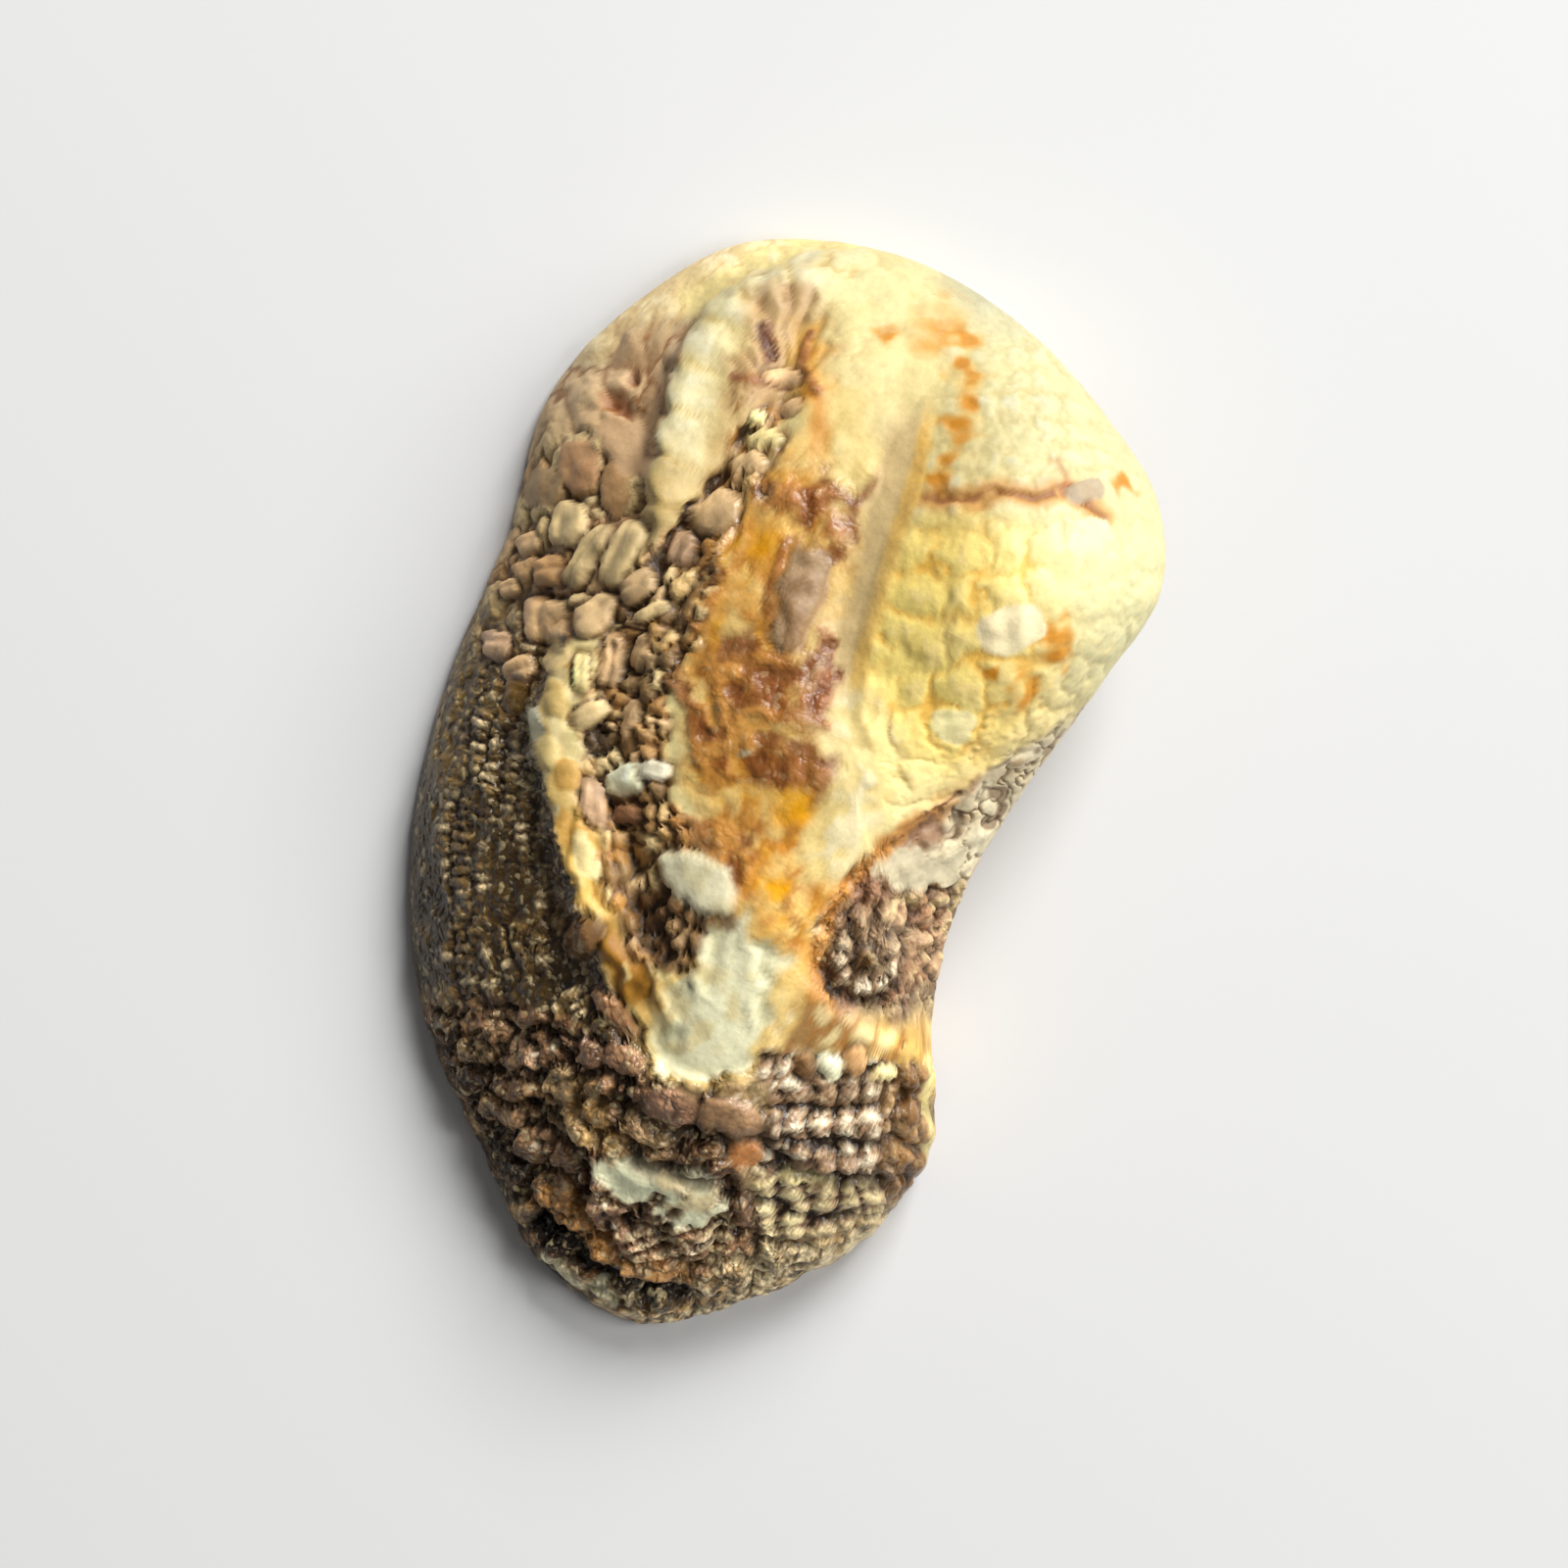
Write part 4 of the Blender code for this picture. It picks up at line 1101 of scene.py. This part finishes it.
def dress_crust(c, zone):
    """The crust at the lower end: lumps with painted glints and painted shade in their pits, thin lines,
    rows of bars, ledges, a beaded margin and a gap, with painted highlights on bar and bead tops, painted
    shade between them and under the ledges, a slab painted lighter where it faces away from the key light,
    and a painted shadow in the gap below a partly highlighted rim.
    """
    px, py, wobble, grit = c.px, c.py, c.wobble, c.grit
    crust = zone["crust"] * (1 - zone["wall"])
    left = until(*CRUST_LEFT, px - 0.45 * (py - CRUST_LEFT_PIVOT) + 20 * wobble)
    right = crust * ramp(*BARS_START, px + 14 * wobble) * until(*BARS_END, px + 10 * wobble)
    right *= until(*BARS_STOP, py + 0.35 * (px - BARS_PIVOT) + 8 * wobble)
    body = crust * (1 - right)
    lumps(c, body, cells(px + 22 * wobble, 1.35 * py + 18 * wobble, 46, 111), 0.8, CRUST_COLOURS, 0.95)
    first, second, name = cells(px + 7 * grit, 1.2 * py + 9 * wobble, 17, 112)
    c.lift += body * 0.26 * (0.5 - first)
    c.paint((150, 116, 84), body * 0.45 * (name > 0.5) * until(0.3, 0.7, first))
    # Painted glints on the crowns of some small lumps
    c.paint((255, 240, 208), body * 0.9 * (name > 0.76) * until(0.08, 0.30, first) * ramp(-0.3, 0.1, grit))
    holes = body * (name < 0.24) * until(0.2, 0.6, first)
    # Painted shade in the pits
    c.paint((34, 20, 10), 0.8 * holes)
    c.lift -= 0.25 * holes
    c.paint((206, 142, 78), body * 0.6 * c.near(ORANGE_CRUST, 24, 10, 16, 8))
    c.paint((206, 166, 106), body * 0.6 * c.near(HONEY_CRUST, 22, 10, 14, 8))
    stripe = np.sin((py + LOW_LINES_TILT * px) * 2 * np.pi / LOW_LINES_PITCH + 2.5 * wobble)
    lines = c.near(LOW_LINES, 24, 6, 10, 4) * body
    c.lift += lines * 0.3 * stripe
    c.paint((96, 68, 42), 0.9 * lines * ramp(0.1, 0.7, -stripe))
    c.paint((226, 202, 162), 0.9 * lines * ramp(0.1, 0.7, stripe))
    c.crusty -= 0.1 * lines
    c.paint(DARK_OLIVE, crust * left * 0.7 * ramp(-0.6, 0.2, grit + 0.4))
    c.crusty += body * (0.20 + 0.36 * left)
    column = wave((px + 12 * wobble - BARS_LEFT) / BAR_WIDTH)
    small = wave((py + 4 * wobble + 0.1 * px) / BAR_STEP)
    bars = np.sqrt(column) * (0.5 + 0.5 * small)
    tilted = py - 0.10 * (px - PHOTO_MIDDLE[0])
    rows = ramp(0.12, 0.5, wave((tilted - BARS_TOP + 16 * wobble) / BAR_HEIGHT))
    bars = bars * rows
    c.paint((128, 96, 70), right)
    c.lift += right * (0.65 * bars - 0.3)
    # Painted shade in the gaps between the bars
    c.paint(GAP_SHADE_BLACK, right * 0.95 * until(0.28, 0.56, bars))
    low = ramp(*BARS_WARM, tilted + 8 * wobble)
    c.paint((170, 138, 108), right * 0.9 * ramp(0.35, 0.6, bars))
    # Pale bar tops, partly painted highlight: white in the upper rows, the bars' own cream-yellow in the
    # lower ones
    c.paint((248, 232, 200), right * ramp(0.62, 0.82, bars) * (1 - low) * ramp(-0.4, 0.1, wobble))
    c.paint((255, 234, 182), right * ramp(0.50, 0.72, bars) * low * ramp(-0.6, 0.0, wobble + 0.2))
    c.crusty += right * 0.24
    ledge = c.near(PALE_LEDGE, 5, 3, 4, 3)
    c.paint((232, 214, 158), 0.85 * ledge)
    c.lift += 0.3 * ledge
    side = crust * ramp(*SIDE_CRUST, px + 8 * wobble)
    tops = (UMBER, (166, 132, 92), BROWN, (186, 152, 106))
    lumps(c, side, cells(px + 6 * wobble, 0.8 * py + 8 * wobble, 26, 114), 0.45, tops)
    margin = crust * ramp(*MARGIN_STARTS, py + 0.32 * (px - MARGIN_PIVOT) + 10 * wobble) * (1 - left)
    c.paint((200, 168, 120), margin * 0.8)
    bead = lattice(c, *MARGIN_BEADS)
    c.lift += margin * 0.32 * (bead - 0.5)
    # Painted highlights on the bead tops and painted shade between the beads
    c.paint((255, 234, 190), margin * 0.9 * ramp(0.42, 0.70, bead) * ramp(-0.4, 0.2, grit))
    c.paint(GAP_SHADE_BLACK, margin * 0.85 * until(0.25, 0.55, bead))
    c.crusty += margin * 0.25
    pale = c.near(LOW_PALE, 17, 5, 14, 7)
    c.paint((84, 58, 32), 0.8 * c.near(LOW_PALE, 25, 6, 14, 7))
    c.paint((255, 246, 208), 0.95 * pale)
    c.paint((216, 192, 142), 0.6 * pale * ramp(0.0, 0.4, grit + wobble))
    c.level(0.45 + 0.08 * grit, pale)
    # Painted light on the slab, which faces away from the key light
    c.shade(1.14, pale)
    c.crusty *= 1 - 0.85 * pale
    c.paint((214, 160, 102), 0.75 * c.near(ORANGE_FOOT, 17, 6, 12, 7))
    for line in LOW_LEDGES:
        d, run = c.side(line)
        ends = middle_of(run, 0.12, 0.88)
        across = d + 6 * wobble + 3 * grit
        under = bell(across - 5, 6)
        c.lift += 0.5 * ends * (bell(across + 10, 9) - 1.2 * under)
        # Painted shadow under the ledge
        c.paint(DARK_BROWN, 0.85 * ends * under)
    gap = c.distance(GAP) + 2 * grit + 2 * wobble
    c.lift -= 0.9 * until(4, 13, gap)
    # Painted shadow in the gap
    c.paint((26, 16, 8), 0.97 * until(9, 14, gap))
    rim_line = c.distance(GAP_RIM) + 2 * grit + 2 * wobble
    c.lift += 0.2 * until(3, 8, rim_line)
    # Pale rim line, partly the rim's own cream and partly painted highlight
    c.paint((255, 246, 206), 0.95 * until(4, 9, rim_line))
    c.gloss(GLOSSY, crust)
    thin = c.distance(RIM_EDGE) + 1.5 * wobble
    pale_line = until(2, 7, thin) * ramp(2.0, 4.0, c.z)
    c.paint((240, 222, 158), 0.85 * pale_line)
    c.crusty *= 1 - pale_line


def dress_marks(c, zone):
    """Rubble between the ridge and the middle, crevices of painted shade, a grey lump, worn patches and the
    flake.
    """
    px, py, wobble, grit = c.px, c.py, c.wobble, c.grit
    wide = 24 + 24 * ramp(*RUBBLE_WIDENS, py)
    d = c.distance(RUBBLE) + 12 * wobble + 6 * grit
    rubble = until(wide - 7, wide + 7, d) * (1 - zone["band"])
    colours = (GREY_TAN, (172, 130, 82), (206, 172, 120), BROWN, (222, 196, 146), (178, 128, 76))
    lumps(c, rubble, grown(c, zone, 17, 25, 121), 0.5, colours, 0.85, (96, 60, 28))
    c.paint((200, 140, 66), 0.5 * rubble * ramp(0.1, 0.5, mottle_at(c)))
    c.crusty += 0.15 * rubble
    for line, width in ((CREVICES, 8), (LOW_CREVICES, 9)):
        deep = c.near(line, width, 4, 12, 6)
        c.lift -= 0.35 * deep
        # Painted shade in the crevices
        c.paint((44, 26, 10), 0.85 * deep)
    slit = c.near(FAN_SLIT, 5, 2, 1, 1)
    c.paint((96, 52, 26), 0.9 * slit)
    c.lift -= 0.25 * slit
    lump = c.near(GREY_LUMP, 17, 4, 7, 4)
    c.paint(UMBER, 0.85 * c.near(GREY_LUMP, 23, 5, 7, 4))
    c.lift += lump * (0.35 + 0.2 * grit)
    c.paint(GREY_BROWN, 0.9 * lump, 0.5)
    c.paint((146, 108, 70), 0.6 * lump * ramp(0.0, 0.5, grit))
    patch = c.near(WORN_PATCH, 31, 6, 14, 6)
    c.level(-0.12, patch)
    c.paint((238, 204, 132), 0.75 * c.near(WORN_PATCH, 44, 8, 14, 6) * (1 - patch))
    c.paint(WORN_WHITE, 0.95 * patch, 0.4)
    c.paint((212, 204, 158), 0.6 * patch * ramp(0.0, 0.5, wobble))
    c.lift += 0.2 * patch * np.sin(px / 8 + 4 * wobble + grit) * ramp(-0.4, 0.2, wobble)
    c.paint((232, 206, 140), 0.5 * patch * ramp(0.1, 0.6, mottle_at(c)))
    border = until(8, 20, c.outside_of(FLAKE) + 9 * wobble + 6 * grit)
    c.paint(BROWN, 0.9 * border * ramp(-30, 10, py - px - FLAKE_SHADOW))
    blob = c.near(DARK_BLOB, 21, 6, 9, 6)
    lumps(c, blob, cells(px, py, 22, 122), 0.6, (BROWN, (104, 78, 52), (136, 108, 76)))
    flake = until(-5, 5, c.outside_of(FLAKE) + 7 * wobble)
    c.level(0.42 + 0.05 * grit, flake)
    c.paint((240, 232, 196), 0.98 * flake)
    c.paint((214, 200, 152), 0.5 * flake * ramp(0.1, 0.5, grit))
    c.crusty *= 1 - 0.9 * np.maximum(flake, patch)
    glint = c.near(GLINTS, 9, 2, 5, 6)
    c.paint((240, 222, 182), 0.9 * glint * ramp(0.0, 0.3, grit))


def dress_beads(c):
    """The separate beads; the taller ones have a crease, painted light and shade across them and a gap of
    painted shade round them.
    """
    for px, py, long, wide, turn, height, colour in BEADS:
        around = (np.abs(c.px - px) < 1.7 * long) & (np.abs(c.py - py) < 1.7 * max(long, wide))
        near = np.flatnonzero(around)
        dx, dy = c.px[near] - px, py - c.py[near]
        wobble, grit = c.wobble[near], c.grit[near]
        in_front = py < DARK_BEADS_START
        tall = height > TALL_BEAD
        a = np.radians(turn)
        u = (dx * np.cos(a) + dy * np.sin(a)) / long
        v = (dy * np.cos(a) - dx * np.sin(a)) / wide
        r = (np.abs(u) ** 3.0 + np.abs(v) ** 3.0) ** (1 / 3.0) + 0.22 * wobble + 0.14 * grit
        round_it = np.clip(1 - np.maximum(r, 0) ** 3, 0, 1) ** 0.5
        on = until(0.88, 1.04, r)
        gap = until(1.05, 1.4, r) * (1 - on) * tall
        crease = height * 0.30 * bell(v - 0.2 + 0.4 * wobble, 0.24) * tall
        top = 0.8 * height * round_it - 0.05 - crease + 0.08 * grit
        c.lift[near] += (top - c.lift[near]) * on - 0.18 * gap
        light = 1.15 + 0.35 * grit + 0.50 * round_it * ramp(-0.4, 0.6, v) + 0.15 * wobble - 0.9 * crease
        tint = linear(colour) * (light if tall else 1 + 0.06 * wobble)[:, None]
        c.colour[near] += (tint - c.colour[near]) * (0.92 * on)[:, None]
        # Painted shade in the gap round the bead
        between = linear((96, 62, 32) if in_front else (60, 38, 20))
        c.colour[near] += (between - c.colour[near]) * (0.68 * gap)[:, None]
        c.crusty[near] *= 1 - (0.75 if in_front else 0.3) * on


def dress_outside(points, under):
    """Relief, colours and gloss of everything outside the flat face, with painted light and shade over the
    lobe and painted shade where the relief sinks.
    """
    c = Canvas(points)
    px, py, wobble, grit = c.px, c.py, c.wobble, c.grit
    zone = zones(c)
    lobe = dress_umbo(c, zone)
    dress_front(c, zone, lobe)
    dress_amber(c, zone)
    dress_band(c, zone)
    dress_wall(c, zone)
    dress_crust(c, zone)
    dress_marks(c, zone)
    dress_beads(c)
    c.lift += 0.05 * wobble + 0.03 * grit
    # Darker over the upper part, but not the lower lobe, which turns away from the key light and so stays
    # painted lighter
    bright = lobe * ramp(*LOBE_BRIGHT, py + 12 * wobble) * (1 - 0.6 * ramp(*LOBE_DIMS, px))
    spared = ramp(8, 20, zone["ridge"]) * until(*BAND_ENDS, px) * until(*BAND_TIP, py)
    c.shade(0.78, (1 - bright) * until(*DIMMED, py) * (1 - zone["wall"]) * (1 - 0.9 * spared))
    # Painted shade on the upper lobe, which faces the key light
    c.shade(0.88, lobe * until(*TIP_DIMMED, py))
    grey = c.colour.mean(axis=1, keepdims=True)
    c.colour = np.maximum(grey + VIVID * (c.colour - grey), 0.002)
    degrees = np.degrees(np.arctan2(c.y - CENTRE[1], c.x - CENTRE[0]))
    hinge_side = ramp(0.12, 0.4, under) * ramp(2.5, 5.0, knots(WIDEST, degrees))
    bands = 0.5 + 0.5 * np.sin(c.z * HINGE_BANDS + 2 * wobble)
    c.paint(WALL_BROWN, 0.8 * hinge_side)
    c.paint((96, 70, 46), 0.55 * hinge_side * bands)
    # Painted shade where the relief sinks
    c.shade(0.72, ramp(-0.1, -0.45, c.lift))
    return c


def dress_inside(points, on_rim):
    """Porcelain of the hollow and the flat face, with stains, muscle scars and brown between the teeth."""
    c = Canvas(points)
    c.colour[:] = linear(PORCELAIN)
    c.rough[:] = PORCELAIN_ROUGHNESS
    c.paint((214, 190, 150), 0.6 * ramp(-0.2, 0.6, c.wobble))
    c.paint((196, 170, 128), 0.5 * until(1.0, 4.0, c.z) * (1 - on_rim))
    for x, y, long, wide in MUSCLE_SCARS:
        d = np.hypot((c.x - x) / wide, (c.y - y) / long) + 0.08 * c.wobble
        c.paint((200, 176, 138), 0.7 * until(0.85, 1.0, d), 0.45)
        c.paint((160, 130, 92), 0.5 * until(0.0, 0.08, np.abs(d - 1.0)))
    c.paint((150, 118, 78), 0.7 * on_rim * ramp(-0.3, 0.5, c.grit + c.wobble), 0.5)
    c.paint((74, 52, 34), 0.85 * on_rim * ramp(0.1, 0.3, c.z))
    return c


def zip_faces(outer, inner):
    """Faces between a loop and one of a third as many points."""
    faces = []
    ratio = len(outer) // len(inner)
    for n in range(len(inner)):
        start = n * ratio
        after = inner[(n + 1) % len(inner)]
        middle = start + ratio // 2
        for k in range(ratio):
            a, b = outer[start + k], outer[(start + k + 1) % len(outer)]
            faces.append((a, inner[n] if start + k <= middle else after, b))
        faces.append((outer[(middle + 1) % len(outer)], inner[n], after))
    return faces


def ring_of(function, share, angle):
    """One loop of points of a part of the surface."""
    return function(np.full(angle.shape, share), angle)


def shell_mesh():
    """Points, faces, colours and roughness of the whole closed shell."""
    top = outside(*disk(GRID))
    faces = [tuple(f) for f in disk_faces(GRID).tolist()]
    loop = disk_edge(GRID)
    angle = disk(GRID)[1][loop]
    outer = [top]
    under = [np.zeros(len(top))]
    count = len(top)
    for n in range(SIDE_ROWS):
        share = (n + 1) / SIDE_ROWS
        row = ring_of(under_edge, share, angle)
        below = count + np.arange(len(row))
        faces += ring_faces(loop, below).tolist()
        loop = below
        outer.append(row)
        under.append(np.full(len(row), share))
        count += len(row)
    outer = np.vstack(outer)
    under = np.concatenate(under)
    quads = np.array(faces)
    canvas = dress_outside(outer, under)
    fade = ramp(0.0, 0.9, outer[:, 2])
    share = np.concatenate([disk(GRID)[0], np.ones(len(outer) - len(top))])
    fade = fade * (1 - 0.75 * ramp(0.90, 0.99, share))
    raised = outer + outward(outer, quads) * (canvas.lift * fade)[:, None]
    raised[:, 2] = np.maximum(raised[:, 2], np.where(under < 1, 0.03, 0.0))
    inner = []
    on_rim = []
    inner_count = count
    for n in range(RIM_ROWS):
        row = ring_of(rim, (n + 1) / (RIM_ROWS + 1), angle)
        below = inner_count + np.arange(len(row))
        faces += ring_faces(loop, below).tolist()
        loop = below
        inner.append(row)
        on_rim.append(np.ones(len(row)))
        inner_count += len(row)
    hollow = inside(*disk(HOLLOW_GRID))
    inner.append(hollow)
    on_rim.append(np.zeros(len(hollow)))
    faces += zip_faces(loop.tolist(), (inner_count + disk_edge(HOLLOW_GRID)).tolist())
    faces += (disk_faces(HOLLOW_GRID)[:, ::-1] + inner_count).tolist()
    inner = np.vstack(inner)
    inner_canvas = dress_inside(inner, np.concatenate(on_rim))
    points = np.vstack([raised, inner])
    colour = np.vstack([canvas.colour, inner_canvas.colour])
    rough = np.concatenate([canvas.rough, inner_canvas.rough])
    crusty = np.concatenate([canvas.crusty, inner_canvas.crusty])
    return points, faces, colour, rough, crusty


def added(name, data):
    """An object of the given data, put into the scene."""
    obj = bpy.data.objects.new(name, data)
    bpy.context.scene.collection.objects.link(obj)
    return obj


def shell_object():
    """The shell's mesh with its painted values."""
    points, faces, colour, rough, crusty = shell_mesh()
    mesh = bpy.data.meshes.new("ark_shell")
    mesh.from_pydata((points * MM).tolist(), [], faces)
    mesh.update()
    paint = mesh.attributes.new("paint", "FLOAT_COLOR", "POINT")
    rgba = np.concatenate([np.clip(colour, 0, 1), np.ones((len(colour), 1))], axis=1)
    paint.data.foreach_set("color", rgba.ravel())
    gloss = mesh.attributes.new("surface_roughness", "FLOAT", "POINT")
    gloss.data.foreach_set("value", rough)
    rugged = mesh.attributes.new("crusty", "FLOAT", "POINT")
    rugged.data.foreach_set("value", np.clip(crusty, 0, 1))
    mesh.polygons.foreach_set("use_smooth", [True] * len(mesh.polygons))
    return added("ark_shell", mesh)


def shell_material():
    """Painted shell with fine grain, and where it is crusty, small lumps painted darker in their gaps and
    lighter on their tops, and pale specks painted as glints.
    """
    material = bpy.data.materials.new("worn_ark_shell")
    material.use_nodes = True
    nodes, links = material.node_tree.nodes, material.node_tree.links
    shader = nodes["Principled BSDF"]

    def node(kind, **values):
        made = nodes.new("ShaderNode" + kind)
        for name, value in values.items():
            if name in ("operation", "feature", "attribute_name", "data_type", "blend_type"):
                setattr(made, name, value)
            else:
                made.inputs[name.replace("_", " ")].default_value = value
        return made

    def calc(operation, first, second, third=None):
        made = node("Math", operation=operation)
        for n, value in enumerate((first, second, third)):
            if hasattr(value, "links"):
                links.new(value, made.inputs[n])
            elif value is not None:
                made.inputs[n].default_value = value
        return made.outputs["Value"]

    def spread(value, low, high, to_low, to_high):
        made = node("MapRange", From_Min=low, From_Max=high, To_Min=to_low, To_Max=to_high)
        links.new(value, made.inputs["Value"])
        return made.outputs["Result"]

    def tinted(colour, factor):
        made = node("VectorMath", operation="MULTIPLY")
        links.new(colour, made.inputs[0])
        links.new(factor, made.inputs[1])
        return made.outputs["Vector"]

    def pattern(kind, vector, **values):
        made = node(kind, **values)
        links.new(vector, made.inputs["Vector"])
        return made

    place = nodes.new("ShaderNodeTexCoord").outputs["Object"]
    paint = node("Attribute", attribute_name="paint").outputs["Color"]
    gloss = node("Attribute", attribute_name="surface_roughness").outputs["Fac"]
    crusty = node("Attribute", attribute_name="crusty").outputs["Fac"]
    bend = pattern("TexNoise", place, Scale=700, Detail=2)
    shifted = node("VectorMath", operation="MULTIPLY_ADD")
    links.new(bend.outputs["Color"], shifted.inputs[0])
    shifted.inputs[1].default_value = (BEND * MM,) * 3
    links.new(place, shifted.inputs[2])
    grain = pattern("TexNoise", place, Scale=2600, Detail=3).outputs["Fac"]
    blotch = pattern("TexNoise", place, Scale=420, Detail=4, Roughness=0.6).outputs["Fac"]
    lumps = pattern("TexVoronoi", shifted.outputs["Vector"], Scale=1300)
    grit = pattern("TexVoronoi", shifted.outputs["Vector"], Scale=2500)
    height = calc("MULTIPLY_ADD", lumps.outputs["Distance"], -1.3, 1.72)
    height = calc("MULTIPLY_ADD", grit.outputs["Distance"], -0.75, height)
    tone = calc("MULTIPLY", spread(grain, 0.3, 0.7, 0.93, 1.06), spread(blotch, 0.3, 0.7, 0.93, 1.05))
    # Painted shade in the gaps of the small lumps and painted light on their tops
    lump_shade = calc("SUBTRACT", spread(height, 0.05, 1.1, 0.30, 1.75), 1.0)
    lump_shade = calc("MULTIPLY_ADD", lump_shade, crusty, 1.0)
    colour = tinted(tinted(paint, tone), lump_shade)
    chosen = node("SeparateColor")
    links.new(grit.outputs["Color"], chosen.inputs["Color"])
    # Painted glints on a few of the small lumps' crests
    few = spread(chosen.outputs["Red"], 0.80, 0.84, 0.0, 0.9)
    painted_glint = calc("MULTIPLY", few, spread(height, 0.35, 0.8, 0.0, 1.0))
    painted_glint = calc("MULTIPLY", painted_glint, crusty)
    mixed = node("Mix", data_type="RGBA")
    links.new(painted_glint, mixed.inputs[0])
    links.new(colour, mixed.inputs[6])
    mixed.inputs[7].default_value = (*linear(GLINT_SPECK), 1.0)
    links.new(mixed.outputs[2], shader.inputs["Base Color"])
    links.new(calc("MULTIPLY_ADD", grain, 0.12, gloss), shader.inputs["Roughness"])
    fine = node("Bump", Strength=0.3, Distance=FINE_RELIEF * MM)
    links.new(grain, fine.inputs["Height"])
    coarse = node("Bump", Strength=1.0, Distance=COARSE_RELIEF * MM)
    links.new(calc("MULTIPLY", height, crusty), coarse.inputs["Height"])
    links.new(fine.outputs["Normal"], coarse.inputs["Normal"])
    links.new(coarse.outputs["Normal"], shader.inputs["Normal"])
    shader.inputs["Specular IOR Level"].default_value = 0.5
    return material


def floor():
    """A pale matt sheet."""
    mesh = bpy.data.meshes.new("floor")
    corners = [(x * FLOOR_REACH, y * FLOOR_REACH, 0) for x, y in ((-1, -1), (1, -1), (1, 1), (-1, 1))]
    mesh.from_pydata(corners, [], [(0, 1, 2, 3)])
    material = bpy.data.materials.new("pale_floor")
    material.use_nodes = True
    shader = material.node_tree.nodes["Principled BSDF"]
    shader.inputs["Base Color"].default_value = (*FLOOR_COLOUR, 1.0)
    shader.inputs["Roughness"].default_value = 0.9
    shader.inputs["Specular IOR Level"].default_value = 0.1
    mesh.materials.append(material)
    return added("floor", mesh)


def area_light(name, place, size, energy):
    """A square light at a place given across, up and out of the photo, in metres, aimed at the shell."""
    across, up, height = place
    turn = PHOTO_TURN
    x, y = across * np.cos(turn) - up * np.sin(turn), across * np.sin(turn) + up * np.cos(turn)
    data = bpy.data.lights.new(name, "AREA")
    data.size = size
    data.energy = energy
    obj = added(name, data)
    obj.location = (x, y, height)
    obj.rotation_euler = obj.location.to_track_quat("Z", "Y").to_euler()


def camera():
    """A long lens straight above the shell, turned so that the photo's up is up."""
    data = bpy.data.cameras.new("camera")
    data.sensor_width = SENSOR
    data.lens = SENSOR * (CAMERA_HEIGHT - TRUE_SCALE_HEIGHT) / (PHOTO_SIZE * PIXEL_MM * MM)
    obj = added("camera", data)
    x, y = from_pixels(*PHOTO_MIDDLE)
    obj.location = (x * MM, y * MM, CAMERA_HEIGHT)
    obj.rotation_euler = (0, 0, PHOTO_TURN)
    bpy.context.scene.camera = obj


def sky():
    """An even white sky, weak beside the lights."""
    world = bpy.data.worlds.new("studio")
    world.use_nodes = True
    background = world.node_tree.nodes["Background"]
    background.inputs["Color"].default_value = (1.0, 1.0, 1.0, 1.0)
    background.inputs["Strength"].default_value = SKY_STRENGTH
    bpy.context.scene.world = world


shell = shell_object()
shell.data.materials.append(shell_material())
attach(shell, "root")
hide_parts("valve")
floor()
area_light("key", KEY_PLACE, KEY_SIZE, KEY_ENERGY)
area_light("fill", FILL_PLACE, FILL_SIZE, FILL_ENERGY)
camera()
sky()
bpy.context.scene.view_settings.view_transform = "Standard"
